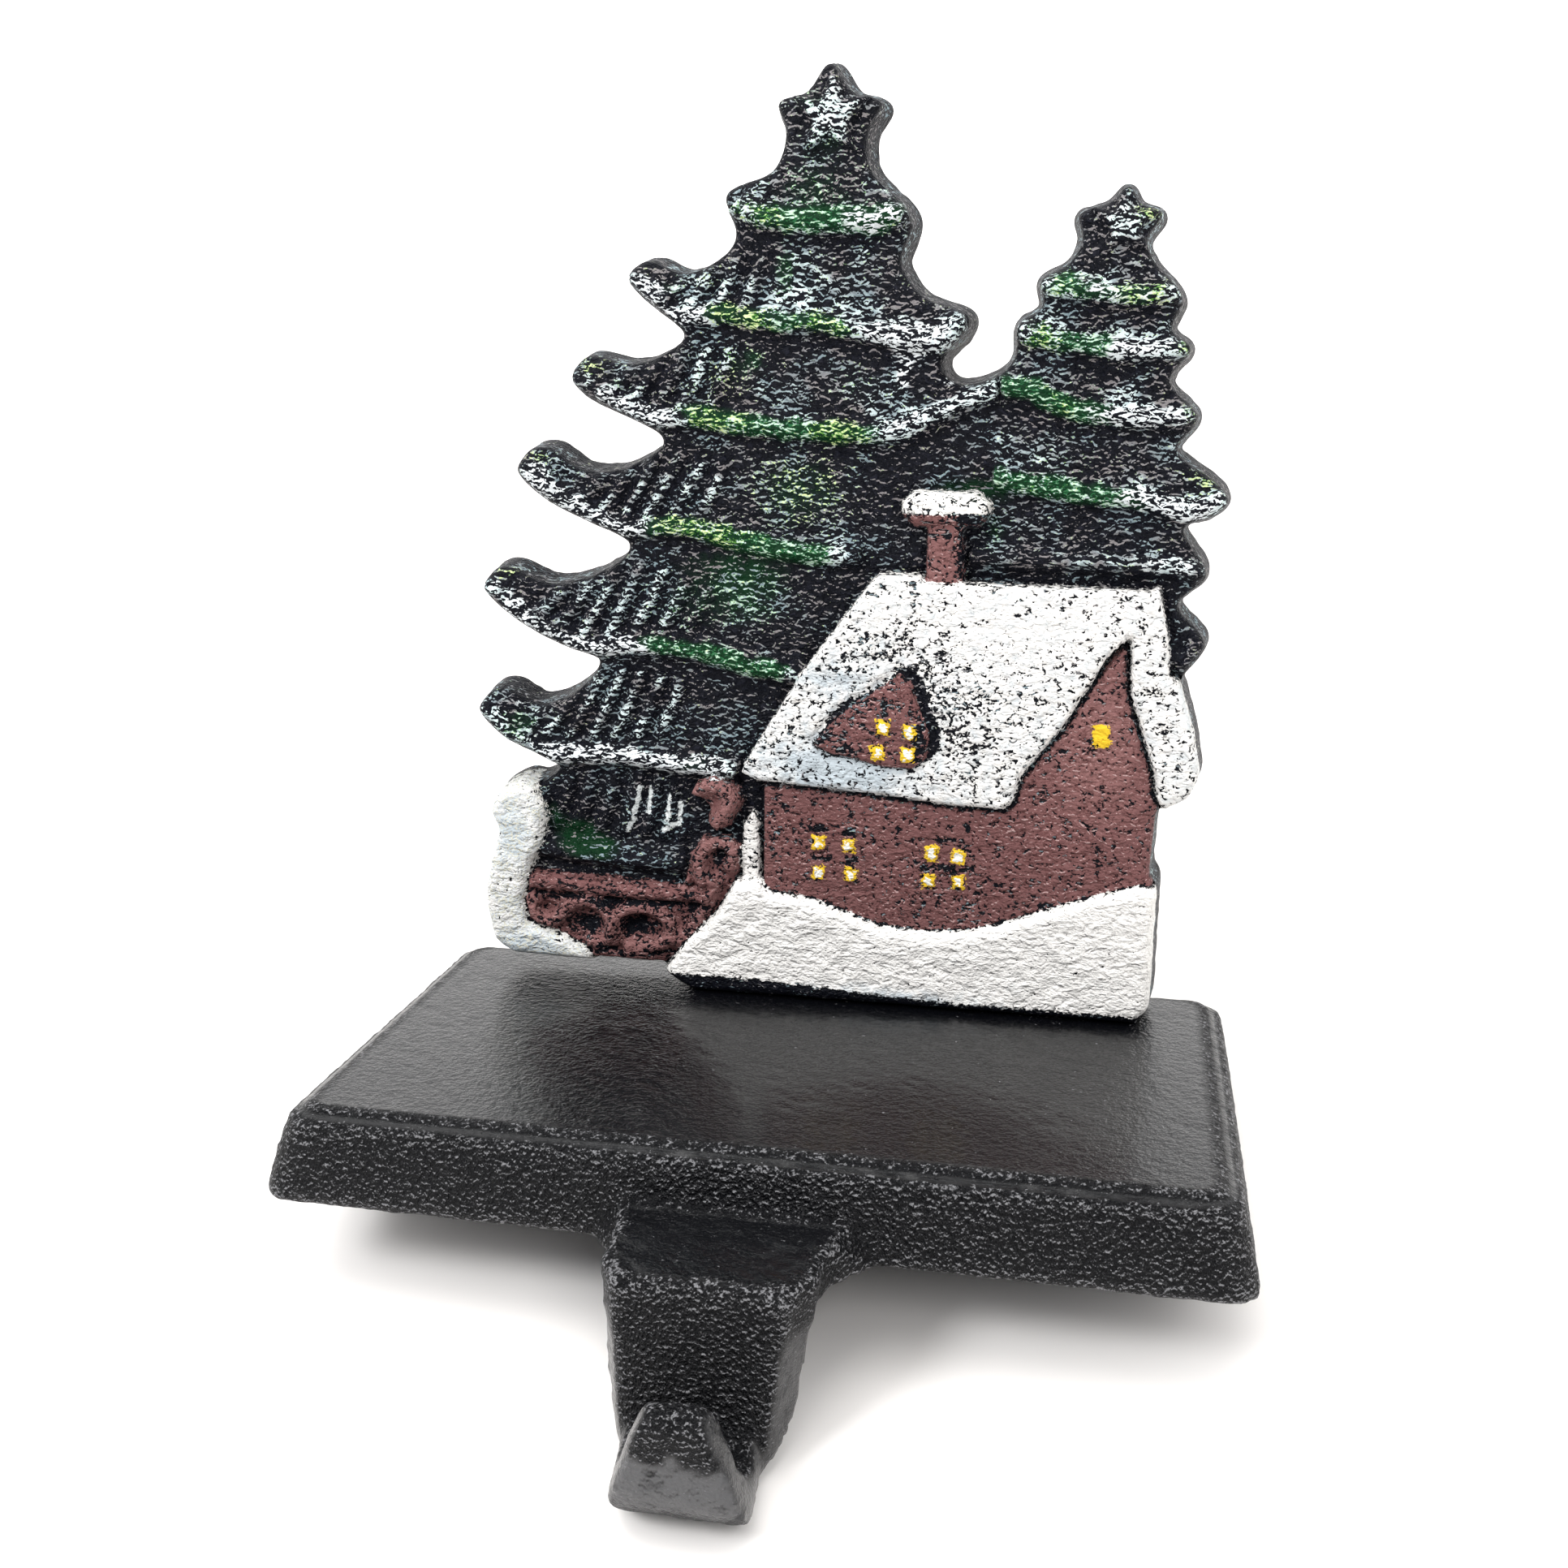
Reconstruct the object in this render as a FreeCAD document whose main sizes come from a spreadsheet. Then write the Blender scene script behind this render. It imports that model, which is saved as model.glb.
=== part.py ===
"""Mantel stocking holder: a cast tray plate with its hook, a relief plaque and two screws.

Frame: millimetres, +Z up, -Y to the front (the stocking side). The origin is where the hook's tongue
leaves the plate: on the underside of the rim, in the middle of the front wall. The underside is the
plane of the mantel shelf. The pieces are drawn about the middle of the plate, then placed.
"""
import FreeCAD
import Part
import math
import os

import Sketcher

Vector = FreeCAD.Vector

SIZES = {
    # plate
    "plate_width": 127.0,
    "plate_depth": 72.0,
    "border_height": 11.0,
    "field_rise": 0.9,
    "border_width": 1.8,
    "skirt_flare": 2.4,
    "skirt_wall": 4.0,
    "top_wall": 4.6,
    "rim_radius": 3.0,
    "corner_radius": 4.5,
    "edge_radius": 0.9,
    # hook
    "hook_reach": 16.7,
    "hook_thickness": 5.0,
    "hook_throat": 8.0,
    "hook_drop": 10.7,
    "tip_rise": 7.2,
    "bend_radius": 1.6,
    "armpit_radius": 5.0,
    "root_width": 28.4,
    "root_spread": 3.4,
    "waist_width": 26.4,
    "waist_reach": 6.0,
    "tongue_width": 20.8,
    "leg_width": 16.4,
    "leg_draft": 2.6,
    "leg_lean": 1.1,
    "tip_width": 6.4,
    "prong_draft": 0.5,
    "prong_swing": 1.0,
    # plaque
    "plaque_width": 109.9,
    "plaque_height": 134.3,
    "plaque_to_back": 7.0,
    "slab_thickness": 7.0,
    "slab_rounding": 1.4,
    "slab_draft": 1.0,
    "tree_rise": 1.9,
    "wall_rise": 2.6,
    "roof_rise": 3.5,
    "bank_rise": 4.0,
    "sleigh_rise": 3.1,
    "dormer_rise": 0.6,
    "pane_rise": 0.4,
    "needle_width": 1.1,
    "relief_bevel": 0.7,
    "relief_root": 0.2,
    "foot_gap": 3.0,
    # screws
    "screw_spacing": 44.0,
    "screw_offset": 14.0,
    "screw_bore": 5.0,
    "screw_length": 18.0,
    "screw_clearance": 0.5,
    "thread_clearance": 0.1,
    "tap_runout": 1.2,
    "head_width": 9.5,
    "head_height": 3.3,
    "boss_width": 14.0,
    "boss_drop": 3.2,
}

doc = FreeCAD.newDocument("stocking_holder")
sheet = doc.addObject("Spreadsheet::Sheet", "Sizes")
for row, (alias, value) in enumerate(SIZES.items(), start=1):
    sheet.set(f"A{row}", alias)
    sheet.set(f"B{row}", str(value))
    sheet.setAlias(f"B{row}", alias)
doc.recompute()


def size(alias):
    """A driving dimension, read back from the sheet."""
    return float(getattr(sheet, alias))


def bind(item, **expressions):
    """Ties properties of an object to cells of the sheet."""
    for prop, expression in expressions.items():
        item.setExpression(prop.replace("__", "."), expression)


# Places that several pieces share.
plate_top = size("border_height") + size("field_rise")
rim_front = -size("plate_depth") / 2
leg_front = rim_front - size("hook_reach")
slab_front = size("plate_depth") / 2 - size("plaque_to_back") - size("slab_thickness")
ROOT_Y = "(Sizes.skirt_wall / 2 - Sizes.plate_depth / 2)"
HOLLOW_HEIGHT = "(Sizes.border_height + Sizes.field_rise - Sizes.top_wall)"
BOSS_BOTTOM = f"({HOLLOW_HEIGHT} - Sizes.boss_drop)"
SCREW_Y = "(Sizes.plate_depth / 2 - Sizes.plaque_to_back - (Sizes.bank_rise + Sizes.slab_thickness) / 2)"
SCREW_X = {
    "left": "(Sizes.screw_offset - Sizes.screw_spacing / 2)",
    "right": "(Sizes.screw_offset + Sizes.screw_spacing / 2)",
}


def origin_plane(body, role):
    """The body's own origin plane of that role."""
    return next(item for item in body.Origin.OriginFeatures if item.Role == role)


def flat_sketch(body, name, height):
    """A sketch on the body's ground plane, lifted by an expression."""
    sketch = body.newObject("Sketcher::SketchObject", name)
    sketch.AttachmentSupport = [(origin_plane(body, "XY_Plane"), "")]
    sketch.MapMode = "FlatFace"
    sketch.setExpression("AttachmentOffset.Base.z", height)
    return sketch


def limit(sketch, name, expression, *constraint):
    """Adds a dimension to a sketch, tied to an expression."""
    index = sketch.addConstraint(Sketcher.Constraint(*constraint))
    sketch.renameConstraint(index, name)
    sketch.setExpression(f"Constraints.{name}", expression)


def draw_panel(sketch, width, depth, radius):
    """A rectangle with round corners about the origin, its three sizes tied to expressions."""
    half_wide, half_deep, corner = 40.0, 20.0, 3.0
    for turn in range(4):
        angle = turn * math.pi / 2
        reach_x, reach_y = (half_wide, half_deep) if turn % 2 == 0 else (half_deep, half_wide)
        turned = FreeCAD.Rotation(Vector(0, 0, 1), math.degrees(angle))
        start = turned.multVec(Vector(-reach_x + corner, -reach_y, 0))
        end = turned.multVec(Vector(reach_x - corner, -reach_y, 0))
        centre = turned.multVec(Vector(reach_x - corner, -reach_y + corner, 0))
        sketch.addGeometry(Part.LineSegment(start, end), False)
        circle = Part.Circle(centre, Vector(0, 0, 1), corner)
        sketch.addGeometry(Part.ArcOfCircle(circle, angle - math.pi / 2, angle), False)
    for line in (0, 2, 4, 6):
        arc = line + 1
        sketch.addConstraint(Sketcher.Constraint("Tangent", line, 2, arc, 1))
        sketch.addConstraint(Sketcher.Constraint("Tangent", arc, 2, (line + 2) % 8, 1))
        sketch.addConstraint(Sketcher.Constraint("Horizontal" if line % 4 == 0 else "Vertical", line))
        if line:
            sketch.addConstraint(Sketcher.Constraint("Equal", 1, arc))
    sketch.addConstraint(Sketcher.Constraint("Symmetric", 1, 3, 5, 3, -1, 1))
    limit(sketch, "wide", width, "DistanceX", 6, 1, 2, 1, 2 * half_wide)
    limit(sketch, "deep", depth, "DistanceY", 0, 1, 4, 1, 2 * half_deep)
    limit(sketch, "corner", radius, "Radius", 1, corner)


def draw_circles(sketch, radius):
    """One circle over each screw."""
    begin_y, begin_radius = 20.0, 3.0
    for number, (side, across) in enumerate(SCREW_X.items()):
        begin_x = -begin_y if side == "left" else begin_y
        circle = Part.Circle(Vector(begin_x, begin_y, 0), Vector(0, 0, 1), begin_radius)
        sketch.addGeometry(circle, False)
        limit(sketch, f"across_{side}", across, "DistanceX", -1, 1, number, 3, begin_x)
        limit(sketch, f"along_{side}", SCREW_Y, "DistanceY", -1, 1, number, 3, begin_y)
        limit(sketch, f"radius_{side}", radius, "Radius", number, begin_radius)


def edge_names(shape, wanted):
    """Names of the edges for which wanted(edge) holds."""
    return [f"Edge{number}" for number, edge in enumerate(shape.Edges, start=1) if wanted(edge)]


def lies_at(edge, height):
    """True for an edge that lies flat at that height."""
    return edge.BoundBox.ZLength < 0.01 and abs(edge.BoundBox.ZMin - height) < 0.01


def add_loft(body, kind, name, sketches):
    """A straight-sided loft from sketch to sketch, added or cut."""
    loft = body.newObject(kind, name)
    loft.Profile = sketches[0]
    loft.Sections = sketches[1:]
    loft.Ruled = True
    doc.recompute()
    return loft


def build_plate():
    """The tray plate: skirts, border, raised field, hollow underside and two screw bosses."""
    body = doc.addObject("PartDesign::Body", "plate")
    flare = "2 * Sizes.skirt_flare"
    soft = "Sizes.edge_radius"
    rings = (
        ("rim_foot", "0", soft, "Sizes.rim_radius"),
        ("rim", soft, "0", "Sizes.rim_radius"),
        ("shoulder", f"Sizes.border_height - {soft}", f"{flare} - {soft}", "Sizes.corner_radius"),
        ("border", "Sizes.border_height", f"{flare} + {soft}", "Sizes.corner_radius"),
    )
    sketches = []
    for name, height, inset, radius in rings:
        sketch = flat_sketch(body, name, height)
        draw_panel(sketch, f"Sizes.plate_width - ({inset})", f"Sizes.plate_depth - ({inset})", radius)
        sketches.append(sketch)
    add_loft(body, "PartDesign::AdditiveLoft", "skirts", sketches)

    inset = f"{flare} + 2 * Sizes.border_width"
    field_outline = flat_sketch(body, "field_outline", "Sizes.border_height - Sizes.field_rise")
    draw_panel(field_outline, f"Sizes.plate_width - ({inset})", f"Sizes.plate_depth - ({inset})",
               "Sizes.corner_radius - Sizes.border_width")
    field = body.newObject("PartDesign::Pad", "field")
    field.Profile = field_outline
    bind(field, Length="2 * Sizes.field_rise")
    doc.recompute()
    step = body.newObject("PartDesign::Chamfer", "field_edge")
    top = plate_top
    step.Base = (field, edge_names(field.Shape, lambda edge: lies_at(edge, top)))
    bind(step, Size="Sizes.field_rise * 0.6")
    doc.recompute()

    wall = "2 * Sizes.skirt_wall"
    mouth = flat_sketch(body, "hollow_mouth", "0")
    draw_panel(mouth, f"Sizes.plate_width - {wall}", f"Sizes.plate_depth - {wall}", "Sizes.rim_radius")
    ceiling = flat_sketch(body, "hollow_ceiling", HOLLOW_HEIGHT)
    draw_panel(ceiling, f"Sizes.plate_width - {wall} - {flare}", f"Sizes.plate_depth - {wall} - {flare}",
               "Sizes.rim_radius")
    add_loft(body, "PartDesign::SubtractiveLoft", "hollow", [mouth, ceiling])

    boss_outline = flat_sketch(body, "boss_outline", BOSS_BOTTOM)
    draw_circles(boss_outline, "Sizes.boss_width / 2")
    bosses = body.newObject("PartDesign::Pad", "bosses")
    bosses.Profile = boss_outline
    bind(bosses, Length="Sizes.boss_drop + Sizes.top_wall / 2")
    doc.recompute()

    hole_outline = flat_sketch(body, "hole_outline", "0")
    draw_circles(hole_outline, "(Sizes.screw_bore + Sizes.screw_clearance) / 2")
    holes = body.newObject("PartDesign::Pocket", "screw_holes")
    holes.Profile = hole_outline
    holes.Reversed = True
    bind(holes, Length="Sizes.border_height + 2 * Sizes.field_rise")
    doc.recompute()
    return body


def solid_through(rings):
    """Closed solid through rings of points: each ring has as many points, in the same order."""
    faces = [Part.Face(Part.makePolygon(rings[0] + rings[0][:1])),
             Part.Face(Part.makePolygon(rings[-1] + rings[-1][:1]))]
    for lower, upper in zip(rings, rings[1:]):
        count = len(lower)
        for index in range(count):
            after = (index + 1) % count
            first, second, third, fourth = lower[index], lower[after], upper[after], upper[index]
            normal = (second - first).cross(fourth - first)
            flat = normal.Length > 0 and abs((third - first).dot(normal)) < 1e-6 * normal.Length
            if flat:
                faces.append(Part.Face(Part.makePolygon([first, second, third, fourth, first])))
            else:
                faces.append(Part.Face(Part.makePolygon([first, second, third, first])))
                faces.append(Part.Face(Part.makePolygon([first, third, fourth, first])))
    solid = Part.Solid(Part.Shell(faces))
    if solid.Volume < 0:
        solid.reverse()
    return solid


def draw_hook(sketch):
    """The hook from the side, across and up: tongue, bend, leg, bow and upturned tip."""
    thick = size("hook_thickness")
    bend = size("bend_radius")
    armpit = size("armpit_radius")
    throat = size("hook_throat") / 2
    root_y = rim_front + size("skirt_wall") / 2
    bow_y = leg_front - throat
    bow_z = -size("hook_drop")
    tip_z = bow_z + size("tip_rise") - thick / 2
    leg_back = leg_front + thick
    prong_back = bow_y - throat
    prong_front = prong_back - thick

    def line(start, end):
        return Part.LineSegment(Vector(*start, 0), Vector(*end, 0)), 1, 2

    def arc(centre, radius, low, high, first, last):
        circle = Part.Circle(Vector(*centre, 0), Vector(0, 0, 1), radius)
        return Part.ArcOfCircle(circle, math.radians(low), math.radians(high)), first, last

    # Each edge with the numbers of its two ends, in the order of travel.
    run = {
        "tongue_top": line((root_y, thick), (leg_front + bend, thick)),
        "bend": arc((leg_front + bend, thick - bend), bend, 90, 180, 1, 2),
        "leg": line((leg_front, thick - bend), (leg_front, bow_z)),
        "throat": arc((bow_y, bow_z), throat, 180, 360, 2, 1),
        "prong_back": line((prong_back, bow_z), (prong_back, tip_z)),
        "tip": arc((prong_back - thick / 2, tip_z), thick / 2, 0, 180, 1, 2),
        "prong_front": line((prong_front, tip_z), (prong_front, bow_z)),
        "bow": arc((bow_y, bow_z), throat + thick, 180, 360, 1, 2),
        "leg_back": line((leg_back, bow_z), (leg_back, -armpit)),
        "armpit": arc((leg_back + armpit, -armpit), armpit, 90, 180, 2, 1),
        "underside": line((leg_back + armpit, 0), (root_y, 0)),
        "root": line((root_y, 0), (root_y, thick)),
    }
    place = {name: number for number, name in enumerate(run)}
    names = list(run)
    for item, first, last in run.values():
        sketch.addGeometry(item, False)
    for name, after in zip(names, names[1:] + names[:1]):
        join = "Coincident" if "root" in (name, after) else "Tangent"
        ends = place[name], run[name][2], place[after], run[after][1]
        sketch.addConstraint(Sketcher.Constraint(join, *ends))
    for name in ("tongue_top", "underside"):
        sketch.addConstraint(Sketcher.Constraint("Horizontal", place[name]))
    for name in ("leg", "prong_back", "prong_front", "leg_back", "root"):
        sketch.addConstraint(Sketcher.Constraint("Vertical", place[name]))
    sketch.addConstraint(Sketcher.Constraint("Coincident", place["throat"], 3, place["bow"], 3))
    sketch.addConstraint(Sketcher.Constraint("PointOnObject", place["underside"], 1, -1))
    bow_radius = "Sizes.hook_throat / 2 + Sizes.hook_thickness"
    limit(sketch, "bend", "Sizes.bend_radius", "Radius", place["bend"], bend)
    limit(sketch, "throat", "Sizes.hook_throat / 2", "Radius", place["throat"], throat)
    limit(sketch, "bow", bow_radius, "Radius", place["bow"], throat + thick)
    limit(sketch, "armpit", "Sizes.armpit_radius", "Radius", place["armpit"], armpit)
    limit(sketch, "top", "Sizes.hook_thickness", "DistanceY", -1, 1, place["tongue_top"], 1, thick)
    limit(sketch, "root", ROOT_Y, "DistanceX", -1, 1, place["root"], 1, root_y)
    limit(sketch, "reach", "-Sizes.plate_depth / 2 - Sizes.hook_reach", "DistanceX", -1, 1,
          place["leg"], 1, leg_front)
    limit(sketch, "drop", "-Sizes.hook_drop", "DistanceY", -1, 1, place["throat"], 3, bow_z)
    limit(sketch, "rise", "Sizes.tip_rise - Sizes.hook_thickness / 2", "DistanceY", place["throat"], 3,
          place["tip"], 3, tip_z - bow_z)


def hook_widths():
    """Tapering blocks that give the hook its widths: tongue from above, leg and tip from the front."""
    thick = size("hook_thickness")
    root = size("root_width") / 2
    spread = size("root_spread")
    waist = size("waist_width") / 2
    tongue = size("tongue_width") / 2
    leg = size("leg_width") / 2
    draft = size("leg_draft")
    lean = size("leg_lean")
    tip = size("tip_width") / 2
    bow_z = -size("hook_drop")
    lowest = bow_z - size("hook_throat") / 2 - thick
    root_y = rim_front + size("skirt_wall") / 2
    waist_y = rim_front - size("waist_reach")
    front_y = leg_front - size("hook_throat") - 2 * thick
    margin = 1.0
    overlap = 0.01

    def across(half_root, half_tongue, z):
        return [Vector(-half_root, root_y + margin, z), Vector(-half_root, rim_front, z),
                Vector(-waist, waist_y, z), Vector(-half_tongue, leg_front - margin, z),
                Vector(half_tongue, leg_front - margin, z), Vector(waist, waist_y, z),
                Vector(half_root, rim_front, z), Vector(half_root, root_y + margin, z)]

    def upright(y, extra):
        return [Vector(-tongue - extra, y, thick + margin), Vector(tongue + extra, y, thick + margin),
                Vector(leg + extra - lean, y, lowest - margin),
                Vector(-leg - extra - lean, y, lowest - margin)]

    def prong(y, extra, aside):
        high = bow_z + size("tip_rise") + margin
        half = leg - extra
        return [Vector(-tip + extra + aside / 2, y, high), Vector(tip - extra + aside / 2, y, high),
                Vector(half + aside, y, bow_z - thick), Vector(half + aside, y, lowest - margin),
                Vector(-half + aside, y, lowest - margin), Vector(-half + aside, y, bow_z - thick)]

    # The tongue's underside runs flush into the sides of the leg.
    neck = tongue - (tongue - leg) * (thick + margin) / (thick + 2 * margin - lowest)
    tongue_block = solid_through([across(root, tongue, thick), across(root + spread, neck, 0.0)])
    leg_block = solid_through([upright(leg_front, 0.0), upright(leg_front + thick, draft),
                               upright(leg_front + 2 * thick, draft)])
    tip_block = solid_through([prong(leg_front + overlap, 0.0, -lean),
                               prong(front_y, size("prong_draft"), size("prong_swing"))])
    return tongue_block.fuse([leg_block, tip_block])


def build_hook():
    """The hook: its side view drawn out across the plate, within its tapering widths."""
    side = doc.addObject("Sketcher::SketchObject", "hook_side")
    side.Placement = FreeCAD.Placement(Vector(0, 0, 0), FreeCAD.Rotation(Vector(1, 1, 1), 120))
    draw_hook(side)
    strip = doc.addObject("Part::Extrusion", "hook_strip")
    strip.Base = side
    strip.DirMode = "Normal"
    strip.Solid = True
    strip.Symmetric = True
    bind(strip, LengthFwd="2 * (Sizes.root_width + Sizes.root_spread)")
    widths = doc.addObject("Part::Feature", "hook_widths")
    widths.Shape = hook_widths()
    hook = doc.addObject("Part::MultiCommon", "hook")
    hook.Shapes = [strip, widths]
    hook.Refine = True
    return hook


# The plaque's relief, read across (x) and up from the seat (z), at its nominal size.
TREES_OUTLINE = [
    # back of the sleigh, from its foot up
    (-48.6, 3.4), (-51.6, 5.6), (-52.9, 12.5), (-51.7, 19.2), (-50.3, 23.8), (-51.5, 26.6), (-50.6, 29.3),
    (-47.0, 31.4), (-44.5, 31.2), (-41.4, 32.8), (-41.0, 34.2),
    # large tree, left side, lowest branch first
    (-43.4, 35.5), (-47.6, 37.2), (-51.6, 39.7), (-53.1, 42.8), (-51.4, 45.4), (-48.5, 45.6), (-44.3, 43.5),
    (-39.5, 44.8), (-36.0, 47.4), (-34.2, 50.0), (-34.6, 51.5),
    (-38.3, 52.5), (-44.2, 55.0), (-49.5, 58.5), (-51.6, 61.4), (-50.3, 64.0), (-47.5, 64.4), (-42.0, 62.2),
    (-36.0, 63.2), (-30.8, 65.7), (-29.0, 67.8), (-30.0, 69.6),
    (-34.0, 71.2), (-39.9, 73.8), (-43.8, 76.3), (-45.6, 78.9), (-44.4, 81.8), (-41.0, 82.2), (-36.0, 79.2),
    (-30.5, 79.3), (-26.4, 81.0), (-23.6, 82.9), (-24.8, 85.0),
    (-29.7, 87.3), (-34.8, 89.5), (-36.9, 92.4), (-34.8, 95.5), (-29.0, 94.4), (-24.7, 95.2), (-20.9, 97.4),
    (-20.8, 99.4), (-26.3, 103.5), (-28.2, 106.4), (-25.6, 108.7), (-20.5, 106.9), (-16.5, 108.0),
    (-13.4, 110.3), (-12.8, 112.8), (-14.3, 117.1), (-11.9, 118.7), (-7.9, 120.1), (-6.2, 122.6),
    # its star
    (-5.7, 126.0), (-6.8, 129.4), (-2.8, 130.5), (0.4, 134.3), (3.4, 130.5), (7.7, 129.0), (5.9, 125.6),
    # large tree, right side
    (6.2, 120.4), (11.3, 115.4), (12.0, 112.6), (10.7, 109.0), (11.4, 106.6), (14.4, 103.4), (20.1, 101.4),
    (19.9, 98.8), (17.0, 95.8), (17.0, 93.6), (19.6, 91.9), (24.6, 93.2), (27.0, 96.0),
    # small tree, left side
    (27.1, 100.0), (30.4, 102.4), (29.9, 105.8), (33.6, 108.0), (35.3, 111.2),
    # its star
    (34.6, 114.4), (38.6, 115.7), (41.1, 118.1), (42.7, 115.6), (45.8, 114.4), (43.9, 111.2),
    # small tree, right side
    (44.8, 108.4), (49.0, 103.6), (47.7, 99.4), (50.6, 96.8), (47.9, 92.6), (52.0, 87.9), (49.5, 84.0),
    (50.6, 82.0), (54.6, 79.4), (56.8, 76.7), (54.8, 74.4), (50.9, 72.6), (54.6, 66.4), (50.9, 62.0),
    (55.0, 56.8), (51.8, 51.6),
]
HOUSE_SIDE_OUTLINE = [
    # right side of the roof, wall and snow bank, then the foot
    (54.2, 44.2), (55.4, 38.0), (54.0, 34.8), (49.6, 32.4), (49.2, 23.0), (50.4, 21.0), (50.4, 2.6),
    (48.6, 0.0), (-19.5, 0.0),
]
FOOT_STEP = -24.0

# Each tier hangs from its upper line and swells to its lip, both from left to right.
TIERS = [
    # large tree, top to bottom
    ([(-7.0, 119.3), (-3.0, 121.2), (0.4, 121.8), (3.4, 121.2), (6.0, 119.0), (11.0, 115.0)],
     [(-13.3, 114.8), (-9.5, 112.2), (-4.5, 111.7), (1.0, 111.5), (7.0, 111.5), (11.6, 113.4)]),
    ([(-26.5, 107.3), (-21.0, 106.0), (-16.8, 107.3), (-13.3, 109.6), (-8.5, 112.0), (0.0, 112.0),
      (6.0, 112.0), (10.0, 109.4), (13.7, 103.4), (18.8, 100.9)],
     [(-27.0, 105.2), (-23.5, 102.4), (-20.0, 100.4), (-14.5, 99.5), (-8.5, 98.6), (0.0, 98.2),
      (6.0, 97.1), (10.0, 96.3), (15.8, 97.0), (18.8, 99.6)]),
    ([(-35.2, 94.0), (-29.5, 93.4), (-24.7, 94.4), (-20.4, 97.0), (-14.5, 100.0), (-8.5, 99.1), (0.0, 98.7),
      (6.0, 97.6), (10.0, 96.8), (15.0, 94.6), (19.3, 91.0), (25.0, 92.2)],
     [(-35.8, 91.5), (-30.5, 88.4), (-24.8, 86.2), (-18.6, 85.2), (-12.5, 84.2), (-6.5, 83.7), (0.0, 83.4),
      (6.0, 83.0), (12.0, 83.6), (17.0, 86.2), (21.5, 88.2), (25.0, 89.4)]),
    ([(-44.2, 80.4), (-41.0, 81.2), (-36.0, 78.4), (-30.5, 78.6), (-26.0, 80.6), (-20.5, 85.5),
      (-12.5, 84.7), (-6.5, 84.2), (0.0, 83.9), (6.0, 83.5)],
     [(-44.6, 77.8), (-40.5, 74.9), (-34.8, 72.3), (-29.0, 70.4), (-20.5, 69.3), (-14.5, 68.2),
      (-10.5, 67.3), (-4.5, 66.3), (1.5, 65.9), (6.0, 65.9)]),
    ([(-50.1, 62.8), (-47.3, 63.6), (-42.0, 61.4), (-36.4, 62.3), (-31.2, 64.8), (-27.5, 69.9),
      (-20.5, 69.7), (-12.5, 68.1), (-6.5, 67.1), (2.0, 66.3)],
     [(-50.7, 60.3), (-45.4, 56.5), (-39.0, 53.7), (-34.0, 52.5), (-28.5, 51.6), (-20.5, 51.4),
      (-14.5, 50.1), (-10.5, 49.1), (-6.5, 48.6), (-3.0, 48.0)]),
    ([(-51.6, 44.2), (-48.4, 44.8), (-44.2, 42.6), (-40.0, 43.8), (-36.0, 46.4), (-33.0, 51.6),
      (-24.0, 51.8), (-16.0, 50.8), (-8.0, 49.2)],
     [(-52.2, 41.7), (-48.4, 38.7), (-44.0, 36.9), (-40.5, 35.5), (-36.5, 34.4), (-28.5, 34.4),
      (-22.5, 33.7), (-18.5, 33.4), (-13.0, 33.0)]),
    ([(-44.3, 30.3), (-40.5, 32.5), (-30.0, 34.8), (-20.0, 34.0)],
     [(-44.8, 19.4), (-38.0, 18.4), (-30.0, 18.0), (-20.5, 17.8)]),
    # small tree, top to bottom
    ([(30.9, 105.6), (34.3, 107.8), (39.0, 111.5), (43.8, 108.6), (48.0, 104.2)],
     [(30.9, 103.8), (34.5, 102.7), (39.0, 102.0), (44.0, 101.8), (48.1, 102.9)]),
    ([(28.0, 99.4), (31.2, 101.9), (38.0, 102.5), (46.0, 102.0), (49.7, 97.5)],
     [(28.0, 97.4), (32.0, 96.0), (38.0, 95.2), (44.0, 94.6), (49.4, 96.2)]),
    ([(25.6, 92.7), (28.2, 96.0), (32.0, 96.4), (37.0, 95.6), (42.0, 95.2), (47.3, 93.6), (51.0, 88.8)],
     [(25.6, 89.7), (29.0, 89.3), (32.0, 87.8), (36.0, 86.5), (42.0, 86.0), (47.6, 85.9), (50.9, 87.2)]),
    ([(24.5, 86.0), (29.0, 89.0), (36.0, 86.9), (43.0, 86.4), (49.4, 83.4), (55.6, 77.8)],
     [(24.5, 77.5), (30.0, 76.2), (37.0, 75.3), (44.0, 75.1), (50.0, 74.8), (55.4, 76.0)]),
    ([(24.0, 74.0), (30.0, 76.6), (38.0, 75.7), (50.0, 73.2), (53.5, 67.4)],
     [(21.0, 66.5), (30.0, 66.3), (40.0, 66.2), (48.0, 66.0), (53.3, 66.0)]),
    ([(49.5, 65.5), (50.6, 62.0), (54.0, 57.6)],
     [(49.5, 53.0), (51.0, 53.2), (53.6, 56.0)]),
]

STARS = [(0.7, 127.2, 6.0), (40.7, 112.8, 4.6)]

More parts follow.
